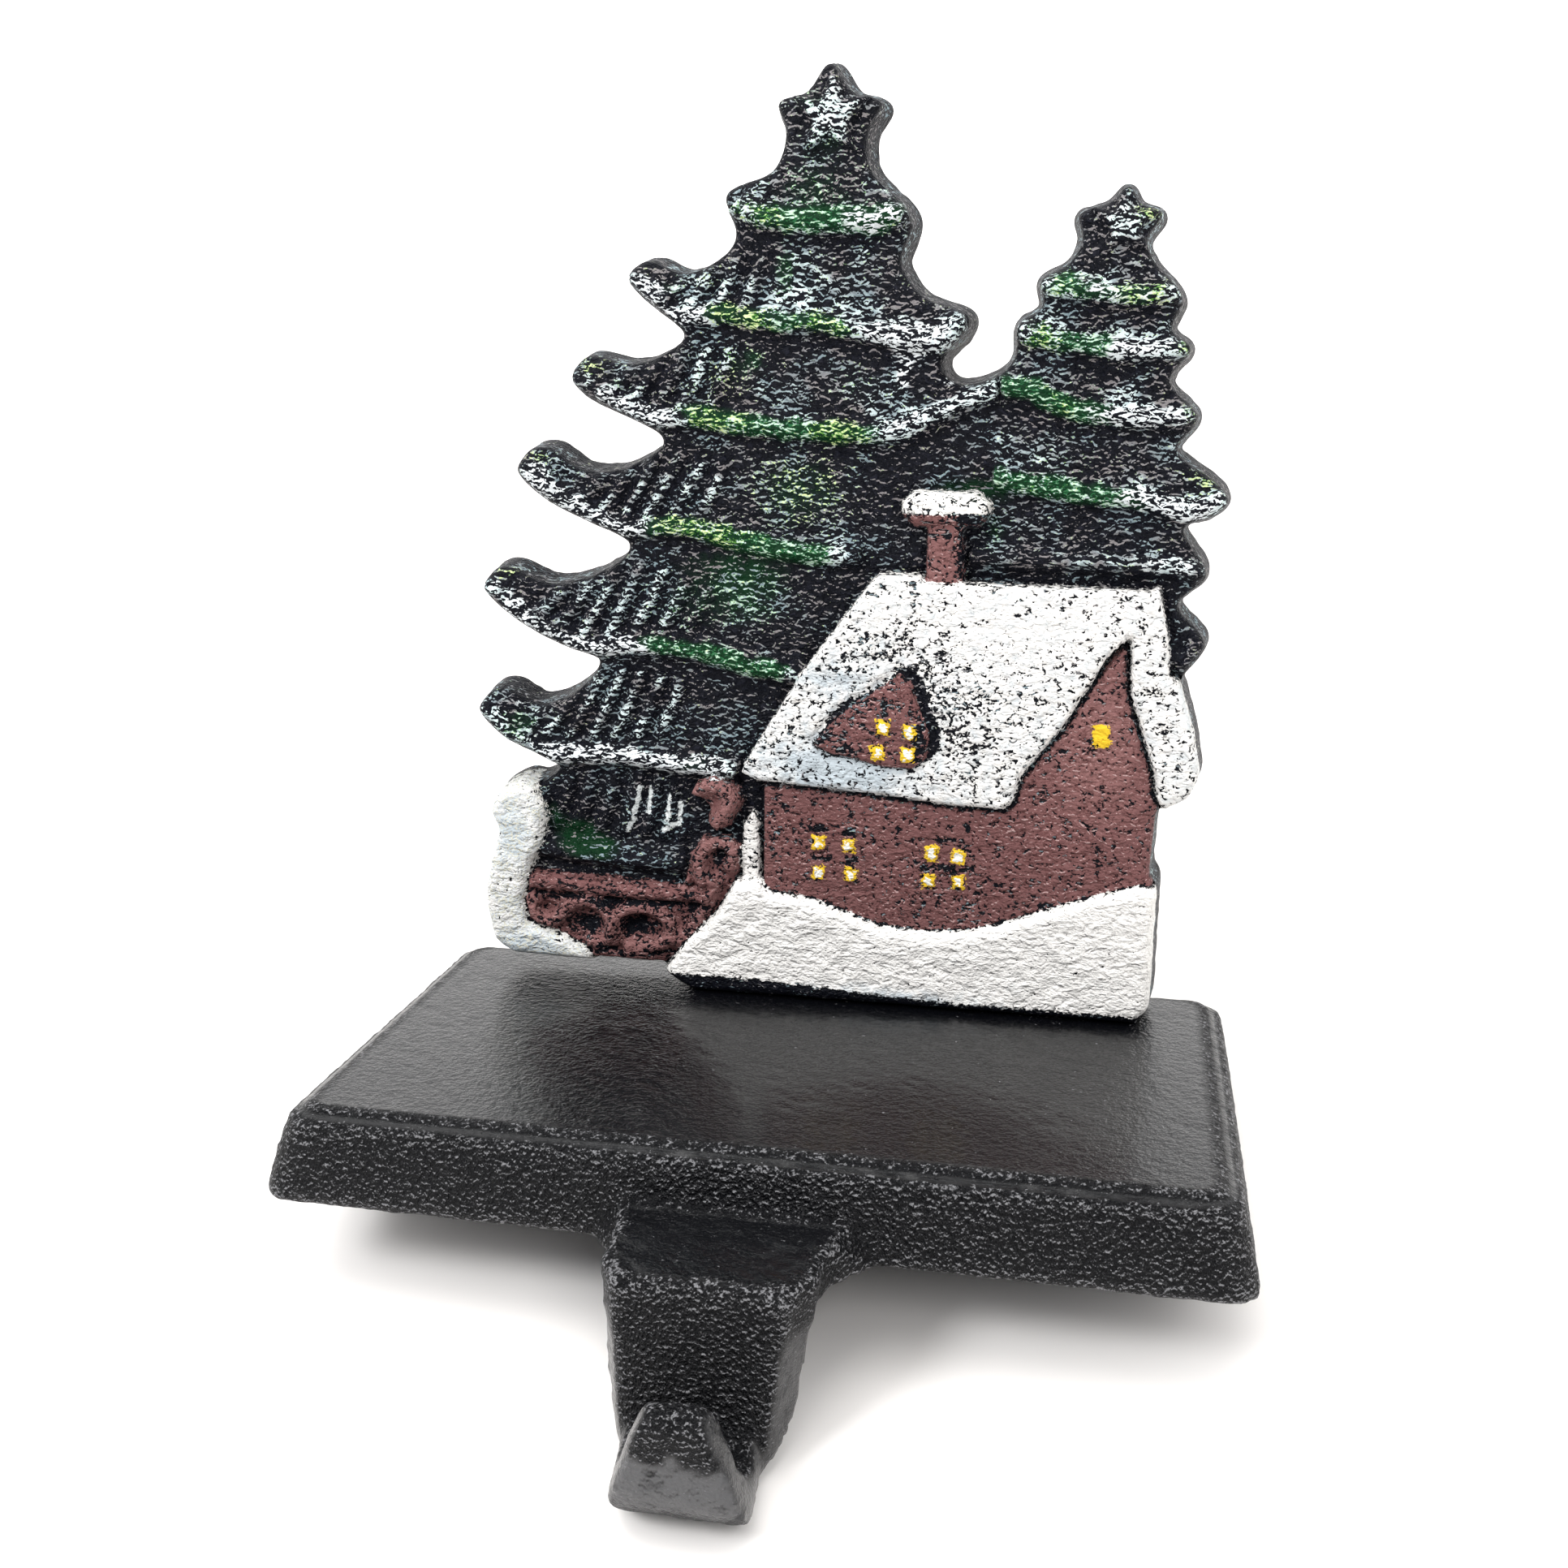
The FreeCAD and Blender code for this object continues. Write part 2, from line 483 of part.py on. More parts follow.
WALLS = [(-8.0, 35.0), (-8.0, 10.0), (48.4, 10.0), (48.8, 22.0), (49.4, 33.0), (49.0, 38.0), (47.3, 43.0),
         (45.1, 49.5), (44.6, 57.5), (30.0, 38.0)]
ROOF = [(8.0, 64.8), (8.9, 65.6), (15.0, 65.6), (15.6, 64.6), (47.0, 64.3), (48.3, 64.8), (50.0, 57.5),
        (50.4, 52.5), (52.0, 51.0), (54.0, 44.0), (55.2, 38.0), (54.0, 35.2), (50.2, 33.0), (49.6, 34.5),
        (49.0, 38.0), (47.3, 43.0), (45.1, 49.5), (44.7, 57.6), (42.0, 55.0), (38.0, 48.0), (36.0, 44.5),
        (33.0, 40.5), (30.3, 36.8), (29.3, 33.0), (28.0, 31.7), (20.0, 31.9), (10.0, 32.9), (0.0, 33.5),
        (-9.0, 34.1), (-11.4, 35.2), (-11.0, 36.5), (-2.0, 51.2)]
DORMER = [(12.3, 51.3), (9.0, 48.8), (5.0, 46.0), (3.2, 44.5), (-0.2, 40.3), (2.5, 39.0), (6.0, 38.5),
          (10.0, 37.5), (14.5, 37.4), (16.6, 39.2), (16.8, 43.0), (15.0, 47.0), (14.2, 50.0)]
CHIMNEY_STACK = [(15.4, 63.0), (21.0, 63.0), (20.8, 73.0), (15.6, 73.0)]
CHIMNEY_CAP = [(13.6, 72.3), (22.8, 72.3), (24.6, 74.0), (24.6, 75.8), (22.8, 77.4), (13.6, 77.4),
               (11.8, 75.8), (11.8, 74.0)]
PANES = [(10.2, 43.5), (14.0, 42.9), (9.5, 39.7), (13.9, 39.6)]
WALL_PANES = [(0.6, 25.1), (5.2, 24.9), (0.7, 20.3), (5.6, 20.4), (17.6, 24.5), (21.6, 24.2), (17.2, 20.2),
              (21.7, 20.3)]
PANE = (1.8, 2.1)
ATTIC_PANE = (41.3, 43.4)
ATTIC_SIZE = (2.3, 3.1)

SNOW_BANK = [(-23.7, 3.1), (-20.5, 7.3), (-15.2, 13.0), (-12.2, 18.2), (-8.3, 18.6), (-6.8, 17.0),
             (0.0, 16.2), (5.5, 14.3), (10.0, 12.8), (16.0, 12.2), (24.0, 13.0), (30.0, 15.0), (38.0, 18.2),
             (48.0, 21.6), (50.0, 20.6), (50.0, 2.6), (48.4, 0.4), (-19.0, 0.4), (-21.5, 2.2)]
SNOW_STRIP = [(-11.6, 18.0), (-8.5, 18.0), (-8.7, 27.0), (-9.7, 29.2), (-11.3, 27.0)]

SLEIGH_BACK = [(-34.5, 3.3), (-48.4, 3.4), (-51.4, 5.6), (-52.7, 12.5), (-51.5, 19.2), (-50.0, 23.8),
               (-51.3, 26.6), (-50.3, 29.2), (-47.0, 31.2), (-44.4, 31.0), (-42.7, 28.3), (-42.3, 26.0),
               (-43.0, 22.0), (-44.6, 19.0), (-45.2, 17.3), (-46.3, 12.5), (-45.8, 9.2), (-41.0, 7.6),
               (-36.0, 5.2)]
SLEIGH_SIDE = [(-46.0, 17.3), (-47.0, 12.0), (-46.4, 8.4), (-41.0, 6.4), (-36.0, 4.0), (-24.0, 3.4),
               (-20.0, 6.6), (-15.0, 12.4), (-12.0, 17.6), (-20.0, 16.6)]
SLEIGH_RAIL = [(-45.6, 16.9), (-45.8, 14.4), (-31.0, 13.8), (-16.6, 13.8), (-15.2, 16.2), (-31.0, 16.2)]
SLEIGH_POST = [(-20.4, 16.8), (-13.5, 16.2), (-11.6, 19.8), (-11.4, 23.5), (-13.5, 24.9), (-17.6, 24.6),
               (-19.4, 21.4)]
SCROLL_HEAD = [(-19.4, 31.4), (-18.2, 33.4), (-15.6, 34.4), (-12.6, 33.2), (-11.0, 30.6), (-12.2, 28.4),
               (-13.2, 26.4), (-15.2, 25.6), (-16.8, 27.0), (-16.4, 29.4), (-17.6, 30.6)]
# Scrollwork on the sleigh's side: centre, outer radius, then where each curl opens, in degrees.
CURLS = [(-43.4, 11.3, 2.3, 30), (-37.4, 9.4, 3.1, 200), (-32.4, 7.4, 2.7, 40), (-27.0, 9.2, 3.3, 190),
         (-22.6, 11.6, 2.2, 60)]

# Needle ridges fan over the left half of each lower tier: upper end, lower end.
NEEDLES = [
    ((-41.5, 79.0), (-40.5, 77.0)), ((-33.0, 78.2), (-35.5, 75.5)), ((-28.5, 79.0), (-32.0, 74.6)),
    ((-25.0, 80.6), (-28.5, 74.2)), ((-21.5, 81.0), (-25.5, 73.8)), ((-18.0, 80.0), (-21.5, 74.4)),
    ((-14.5, 80.0), (-17.0, 75.0)),
    ((-39.0, 61.4), (-43.5, 57.6)), ((-34.5, 62.6), (-39.5, 56.8)), ((-31.0, 64.4), (-35.5, 56.4)),
    ((-27.5, 65.0), (-31.5, 56.6)), ((-24.0, 64.0), (-27.5, 57.0)), ((-20.5, 63.0), (-23.5, 57.0)),
    ((-17.0, 62.0), (-19.5, 57.0)),
    ((-42.0, 43.0), (-45.5, 39.6)), ((-37.5, 45.2), (-42.0, 40.2)), ((-33.8, 48.0), (-38.0, 40.6)),
    ((-30.5, 48.6), (-34.5, 40.6)), ((-27.5, 48.6), (-31.0, 40.8)), ((-24.5, 48.0), (-27.5, 40.8)),
    ((-21.5, 47.0), (-24.0, 41.0)),
    ((-39.0, 31.6), (-41.0, 26.0)), ((-35.5, 32.4), (-37.5, 26.0)), ((-31.8, 32.6), (-33.8, 26.0)),
    ((-28.0, 32.6), (-30.0, 25.6)), ((-25.0, 32.0), (-26.4, 25.4)), ((-22.4, 31.0), (-23.6, 25.4)),
    ((-29.0, 92.4), (-31.5, 90.6)), ((-24.5, 93.4), (-28.0, 89.8)), ((-20.5, 95.2), (-24.0, 89.6)),
    ((-17.0, 96.0), (-20.0, 89.6)), ((-13.5, 95.4), (-16.0, 89.6)),
    ((-20.5, 105.0), (-23.0, 103.6)), ((-16.5, 106.0), (-19.5, 103.0)), ((-12.5, 108.2), (-15.0, 103.4)),
    ((-9.0, 108.6), (-11.0, 103.6)),
]


def smooth_run(points, steps=2):
    """Points of a smooth curve through the given points, with some more between each two."""
    last = len(points) - 1
    result = []
    for index in range(last):
        before, start = points[max(index - 1, 0)], points[index]
        end, after = points[index + 1], points[min(index + 2, last)]
        for step in range(steps):
            part = step / steps
            blend = [(2 * b + part * (c - a) + part ** 2 * (2 * a - 5 * b + 4 * c - d)
                      + part ** 3 * (3 * b - a - 3 * c + d)) / 2
                     for a, b, c, d in zip(before, start, end, after)]
            result.append(tuple(blend))
    return result + [points[last]]


def signed_area(outline):
    """Area of a closed outline, positive where it runs anticlockwise."""
    pairs = zip(outline, outline[1:] + outline[:1])
    return sum(x1 * z2 - x2 * z1 for (x1, z1), (x2, z2) in pairs) / 2


def inset(outline, distance):
    """The outline moved inwards, less where it is too tight to take the whole distance."""
    side = 1 if signed_area(outline) > 0 else -1
    count = len(outline)
    rooms = []
    for index in range(count):
        near = math.dist(outline[index - 1], outline[(index + 1) % count])
        wider = math.dist(outline[index - 2], outline[(index + 2) % count])
        rooms.append(min(0.4 * near, 0.3 * wider, abs(distance)))
    result = []
    for index, (x, z) in enumerate(outline):
        (x0, z0), (x1, z1) = outline[index - 1], outline[(index + 1) % count]
        back = math.dist((x0, z0), (x, z))
        ahead = math.dist((x, z), (x1, z1))
        normal_x = -((z - z0) / back + (z1 - z) / ahead)
        normal_z = (x - x0) / back + (x1 - x) / ahead
        length = max(math.hypot(normal_x, normal_z), 0.5)
        room = min(rooms[index - 1], rooms[index], rooms[(index + 1) % count])
        move = side * math.copysign(room, distance) / length
        result.append((x + normal_x * move, z + normal_z * move))
    return result


def plaque_outline():
    """The whole silhouette of the plaque at its nominal size, anticlockwise from the sleigh's foot."""
    foot = [(FOOT_STEP, size("foot_gap"))]
    outline = smooth_run(TREES_OUTLINE) + HOUSE_SIDE_OUTLINE + foot
    return outline if signed_area(outline) > 0 else outline[::-1]


nominal = plaque_outline()
nominal_x = [x for x, z in nominal]
stretch_x = size("plaque_width") / (max(nominal_x) - min(nominal_x))
stretch_z = size("plaque_height") / max(z for x, z in nominal)


def ring_at(outline, forward):
    """The outline at its real size, so far in front of the slab's front face."""
    return [Vector(x * stretch_x, slab_front - forward, plate_top + max(z, 0.0) * stretch_z)
            for x, z in outline]


def build_slab():
    """The backing slab of the plaque: drafted sides, a rounded front edge and a flat back."""
    rounding = size("slab_rounding")
    shoulder_in = 0.4 * rounding
    shoulder_back = 0.35 * rounding
    face_in = 0.9 * rounding
    outline = plaque_outline()
    layers = (
        (-size("slab_draft"), -size("slab_thickness")),
        (0.0, -rounding),
        (shoulder_in, -shoulder_back),
        (face_in, 0.0),
    )
    return solid_through([ring_at(inset(outline, distance), forward) for distance, forward in layers])


def raised(outline, rise, bevel):
    """A raised patch of relief with a bevelled rim, rooted in the slab."""
    root = -size("slab_rounding") - size("relief_root")
    return solid_through([ring_at(outline, root), ring_at(outline, rise - bevel),
                         ring_at(inset(outline, bevel), rise)])


def tier(upper, lip):
    """One tier of a fir: it rises from the slab at its upper line to a full lip at its lower line."""
    rise = size("tree_rise")
    root = size("relief_root") - size("slab_rounding")
    start_rise = size("relief_root")
    end_share, lip_share, crest_share = 0.55, 0.72, 0.2
    rings = []
    for index, (low, high) in enumerate(zip(lip, upper)):
        height = rise * (end_share if index in (0, len(lip) - 1) else 1.0)
        crest = tuple(a + crest_share * (b - a) for a, b in zip(low, high))
        stations = ((high, root), (high, start_rise), (crest, height), (low, height * lip_share),
                    (low, root))
        rings.append([ring_at([point], forward)[0] for point, forward in stations])
    return solid_through(rings)


def star(centre_x, centre_z, radius):
    """Outline of a five-pointed star."""
    points = []
    valley_share = 0.48
    for turn in range(10):
        angle = math.radians(90 + 36 * turn)
        reach = radius if turn % 2 == 0 else valley_share * radius
        points.append((centre_x + reach * math.cos(angle), centre_z + reach * math.sin(angle)))
    return points


def pane(centre, extent):
    """Outline of a window pane."""
    (x, z), (wide, high) = centre, extent
    return [(x - wide / 2, z - high / 2), (x + wide / 2, z - high / 2), (x + wide / 2, z + high / 2),
            (x - wide / 2, z + high / 2)]


def curl(centre_x, centre_z, radius, opening):
    """Outline of a scroll: three quarters of a ring that narrows to its inner end."""
    outer, inner = [], []
    steps, gap, sweep = 8, 40, 280
    narrowing, hollow_share = 0.25, 0.42
    for step in range(steps + 1):
        angle = math.radians(opening + gap + sweep * step / steps)
        reach = radius * (1.0 - narrowing * step / steps)
        inside = reach * hollow_share
        outer.append((centre_x + reach * math.cos(angle), centre_z + reach * math.sin(angle)))
        inner.append((centre_x + inside * math.cos(angle), centre_z + inside * math.sin(angle)))
    return outer + inner[::-1]


def needle(upper, lower):
    """A needle ridge: a slim wedge lying on a tier."""
    (x1, z1), (x2, z2) = upper, lower
    half = size("needle_width") / 2 / math.hypot(x2 - x1, z2 - z1)
    side_x, side_z = (z2 - z1) * half, (x1 - x2) * half
    crests = (0.62 * size("tree_rise"), 1.05 * size("tree_rise"))
    rings = []
    for (x, z), crest in zip((upper, lower), crests):
        feet = ring_at([(x - side_x, z - side_z), (x + side_x, z + side_z)], -size("needle_width") / 2)
        rings.append(feet + ring_at([(x, z)], crest))
    return solid_through(rings)


def relief_patches():
    """Every raised part of the picture."""
    tree, sleigh = size("tree_rise"), size("sleigh_rise")
    wall, roof = size("wall_rise"), size("roof_rise")
    bevel = size("relief_bevel")
    patches = [tier(upper, lip) for upper, lip in TIERS]
    patches += [needle(upper, lower) for upper, lower in NEEDLES]
    patches += [raised(star(*place), tree, bevel) for place in STARS]
    patches += [
        raised(WALLS, wall, bevel),
        raised(ROOF, roof, bevel),
        raised(DORMER, roof + size("dormer_rise"), bevel / 2),
        raised(CHIMNEY_STACK, wall, bevel),
        raised(CHIMNEY_CAP, roof, bevel),
        raised(SNOW_BANK, size("bank_rise"), bevel),
        raised(SNOW_STRIP, wall / 2, bevel / 2),
        raised(SLEIGH_SIDE, 0.6 * sleigh, bevel / 2),
        raised(SLEIGH_BACK, sleigh, bevel),
        raised(SLEIGH_RAIL, 0.9 * sleigh, bevel / 2),
        raised(SLEIGH_POST, 0.95 * sleigh, bevel),
        raised(SCROLL_HEAD, sleigh, bevel),
    ]
    patches += [raised(curl(*place), 0.95 * sleigh, bevel / 2) for place in CURLS]
    wall_pane = wall + size("pane_rise")
    dormer_pane = roof + size("dormer_rise") + size("pane_rise")
    patches += [raised(pane(place, PANE), wall_pane, bevel / 3) for place in WALL_PANES]
    patches += [raised(pane(place, PANE), dormer_pane, bevel / 3) for place in PANES]
    patches.append(raised(pane(ATTIC_PANE, ATTIC_SIZE), wall_pane, bevel / 3))
    return patches


def build_relief():
    """The whole plaque as one solid, before its screw holes."""
    relief = build_slab().fuse(relief_patches())
    feature = doc.addObject("Part::Feature", "plaque_relief")
    feature.Shape = relief.removeSplitter()
    return feature


def cylinder(name, radius, height, side, bottom):
    """An upright cylinder on one screw's axis."""
    item = doc.addObject("Part::Cylinder", f"{name}_{side}")
    bind(item, Radius=radius, Height=height, Placement__Base__x=SCREW_X[side], Placement__Base__y=SCREW_Y,
         Placement__Base__z=bottom)
    return item


def build_plaque():
    """The relief with its two tapped holes in the foot."""
    seat = "(Sizes.border_height + Sizes.field_rise)"
    depth = f"{BOSS_BOTTOM} + Sizes.screw_length - {seat} + Sizes.tap_runout"
    radius = "(Sizes.screw_bore + Sizes.thread_clearance) / 2"
    holes = doc.addObject("Part::MultiFuse", "tapped_holes")
    holes.Shapes = [cylinder("tapped_hole", radius, depth, side, seat) for side in SCREW_X]
    plaque = doc.addObject("Part::Cut", "scene_plaque")
    plaque.Base = build_relief()
    plaque.Tool = holes
    plaque.Label = "scene_plaque"
    return plaque


def build_screw(side):
    """A pan head machine screw with a cross recess, pointing up."""
    head = cylinder("screw_head", "Sizes.head_width / 2", "Sizes.head_height", side,
                    f"{BOSS_BOTTOM} - Sizes.head_height")
    shank = cylinder("screw_shank", "Sizes.screw_bore / 2", "Sizes.screw_length", side, BOSS_BOTTOM)
    body = doc.addObject("Part::MultiFuse", f"screw_body_{side}")
    body.Shapes = [head, shank]
    slots = []
    long, slim = 0.6, 0.14
    for name, wide, deep in (("across", long, slim), ("along", slim, long)):
        slot = doc.addObject("Part::Box", f"recess_{name}_{side}")
        bind(slot, Length=f"{wide} * Sizes.head_width", Width=f"{deep} * Sizes.head_width",
             Height="Sizes.head_height / 2",
             Placement__Base__x=f"{SCREW_X[side]} - {wide / 2} * Sizes.head_width",
             Placement__Base__y=f"{SCREW_Y} - {deep / 2} * Sizes.head_width",
             Placement__Base__z=f"{BOSS_BOTTOM} - Sizes.head_height")
        slots.append(slot)
    recess = doc.addObject("Part::MultiFuse", f"recess_{side}")
    recess.Shapes = slots
    screw = doc.addObject("Part::Cut", f"screw_{side}")
    screw.Base = body
    screw.Tool = recess
    return screw


def build_base():
    """The plate and the hook, cast in one."""
    base = doc.addObject("Part::MultiFuse", "base_and_hook")
    base.Shapes = [build_plate(), build_hook()]
    base.Refine = True
    base.Label = "base_and_hook"
    return base


def build_screws():
    """Both screws, as one group of separate solids."""
    screws = doc.addObject("Part::Compound", "plaque_screws")
    screws.Links = [build_screw(side) for side in SCREW_X]
    screws.Label = "plaque_screws"
    return screws


subparts = [build_base(), build_plaque(), build_screws()]
for item in subparts:
    bind(item, Placement__Base__y=f"-{ROOT_Y}")
doc.recompute()
for item in doc.Objects:
    if "Invalid" in item.State or "Error" in item.State:
        raise RuntimeError(f"{item.Name} failed: {item.State}")

os.makedirs("parts", exist_ok=True)
for item in subparts:
    if item.Shape.isNull() or not item.Shape.isValid():
        raise RuntimeError(f"{item.Label} has no sound shape")
    item.Shape.exportStep(f"parts/{item.Label}.step")
    box = item.Shape.optimalBoundingBox()
    print(f"{item.Label}: {len(item.Shape.Solids)} solid(s), {item.Shape.Volume:.0f} mm3, "
          f"x {box.XMin:.1f} to {box.XMax:.1f}, y {box.YMin:.1f} to {box.YMax:.1f}, "
          f"z {box.ZMin:.1f} to {box.ZMax:.1f}")
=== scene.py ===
"""Mantel stocking holder: how it looks. Metres, in the part's frame: +Z up, -Y to the stocking side."""

import math

import bpy
import numpy as np
from mathutils import Matrix, Vector
from mathutils.geometry import delaunay_2d_cdt


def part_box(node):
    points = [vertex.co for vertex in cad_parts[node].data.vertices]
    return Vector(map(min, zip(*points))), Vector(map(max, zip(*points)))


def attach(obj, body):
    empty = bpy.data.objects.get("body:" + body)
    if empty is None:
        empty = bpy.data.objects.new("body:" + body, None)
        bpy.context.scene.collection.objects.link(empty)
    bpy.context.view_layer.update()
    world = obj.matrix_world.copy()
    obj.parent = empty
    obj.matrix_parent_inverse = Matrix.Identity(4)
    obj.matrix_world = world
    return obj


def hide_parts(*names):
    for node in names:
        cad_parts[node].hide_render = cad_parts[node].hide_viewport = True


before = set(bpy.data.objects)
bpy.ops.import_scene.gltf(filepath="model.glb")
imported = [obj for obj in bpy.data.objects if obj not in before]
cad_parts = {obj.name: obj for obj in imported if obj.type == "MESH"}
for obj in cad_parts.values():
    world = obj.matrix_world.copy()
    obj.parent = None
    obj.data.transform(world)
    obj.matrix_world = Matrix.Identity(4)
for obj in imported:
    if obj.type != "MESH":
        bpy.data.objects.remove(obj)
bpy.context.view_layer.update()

MM = 0.001

# ---- The plaque's picture, in millimetres across the plaque and up from its seat ----
TREES_EDGE = [
    # back of the sleigh, from its foot up
    (-48.6, 3.4), (-51.6, 5.6), (-52.9, 12.5), (-51.7, 19.2), (-50.3, 23.8), (-51.5, 26.6), (-50.6, 29.3),
    (-47.0, 31.4), (-44.5, 31.2), (-41.4, 32.8), (-41.0, 34.2),
    # large tree, left side, lowest branch first
    (-43.4, 35.5), (-47.6, 37.2), (-51.6, 39.7), (-53.1, 42.8), (-51.4, 45.4), (-48.5, 45.6), (-44.3, 43.5),
    (-39.5, 44.8), (-36.0, 47.4), (-34.2, 50.0), (-34.6, 51.5),
    (-38.3, 52.5), (-44.2, 55.0), (-49.5, 58.5), (-51.6, 61.4), (-50.3, 64.0), (-47.5, 64.4), (-42.0, 62.2),
    (-36.0, 63.2), (-30.8, 65.7), (-29.0, 67.8), (-30.0, 69.6),
    (-34.0, 71.2), (-39.9, 73.8), (-43.8, 76.3), (-45.6, 78.9), (-44.4, 81.8), (-41.0, 82.2), (-36.0, 79.2),
    (-30.5, 79.3), (-26.4, 81.0), (-23.6, 82.9), (-24.8, 85.0),
    (-29.7, 87.3), (-34.8, 89.5), (-36.9, 92.4), (-34.8, 95.5), (-29.0, 94.4), (-24.7, 95.2), (-20.9, 97.4),
    (-20.8, 99.4), (-26.3, 103.5), (-28.2, 106.4), (-25.6, 108.7), (-20.5, 106.9), (-16.5, 108.0),
    (-13.4, 110.3), (-12.8, 112.8), (-14.3, 117.1), (-11.9, 118.7), (-7.9, 120.1), (-6.2, 122.6),
    # its star
    (-5.7, 126.0), (-6.8, 129.4), (-2.8, 130.5), (0.4, 134.3), (3.4, 130.5), (7.7, 129.0), (5.9, 125.6),
    # large tree, right side
    (6.2, 120.4), (11.3, 115.4), (12.0, 112.6), (10.7, 109.0), (11.4, 106.6), (14.4, 103.4), (20.1, 101.4),
    (19.9, 98.8), (17.0, 95.8), (17.0, 93.6), (19.6, 91.9), (24.6, 93.2), (27.0, 96.0),
    # small tree, left side
    (27.1, 100.0), (30.4, 102.4), (29.9, 105.8), (33.6, 108.0), (35.3, 111.2),
    # its star
    (34.6, 114.4), (38.6, 115.7), (41.1, 118.1), (42.7, 115.6), (45.8, 114.4), (43.9, 111.2),
    # small tree, right side
    (44.8, 108.4), (49.0, 103.6), (47.7, 99.4), (50.6, 96.8), (47.9, 92.6), (52.0, 87.9), (49.5, 84.0),
    (50.6, 82.0), (54.6, 79.4), (56.8, 76.7), (54.8, 74.4), (50.9, 72.6), (54.6, 66.4), (50.9, 62.0),
    (55.0, 56.8), (51.8, 51.6),
]
HOUSE_EDGE = [
    # right side of the roof, wall and snow bank, then the foot
    (54.2, 44.2), (55.4, 38.0), (54.0, 34.8), (49.6, 32.4), (49.2, 23.0), (50.4, 21.0), (50.4, 2.6),
    (48.6, 0.0), (-19.5, 0.0), (-24.0, 3.0),
]

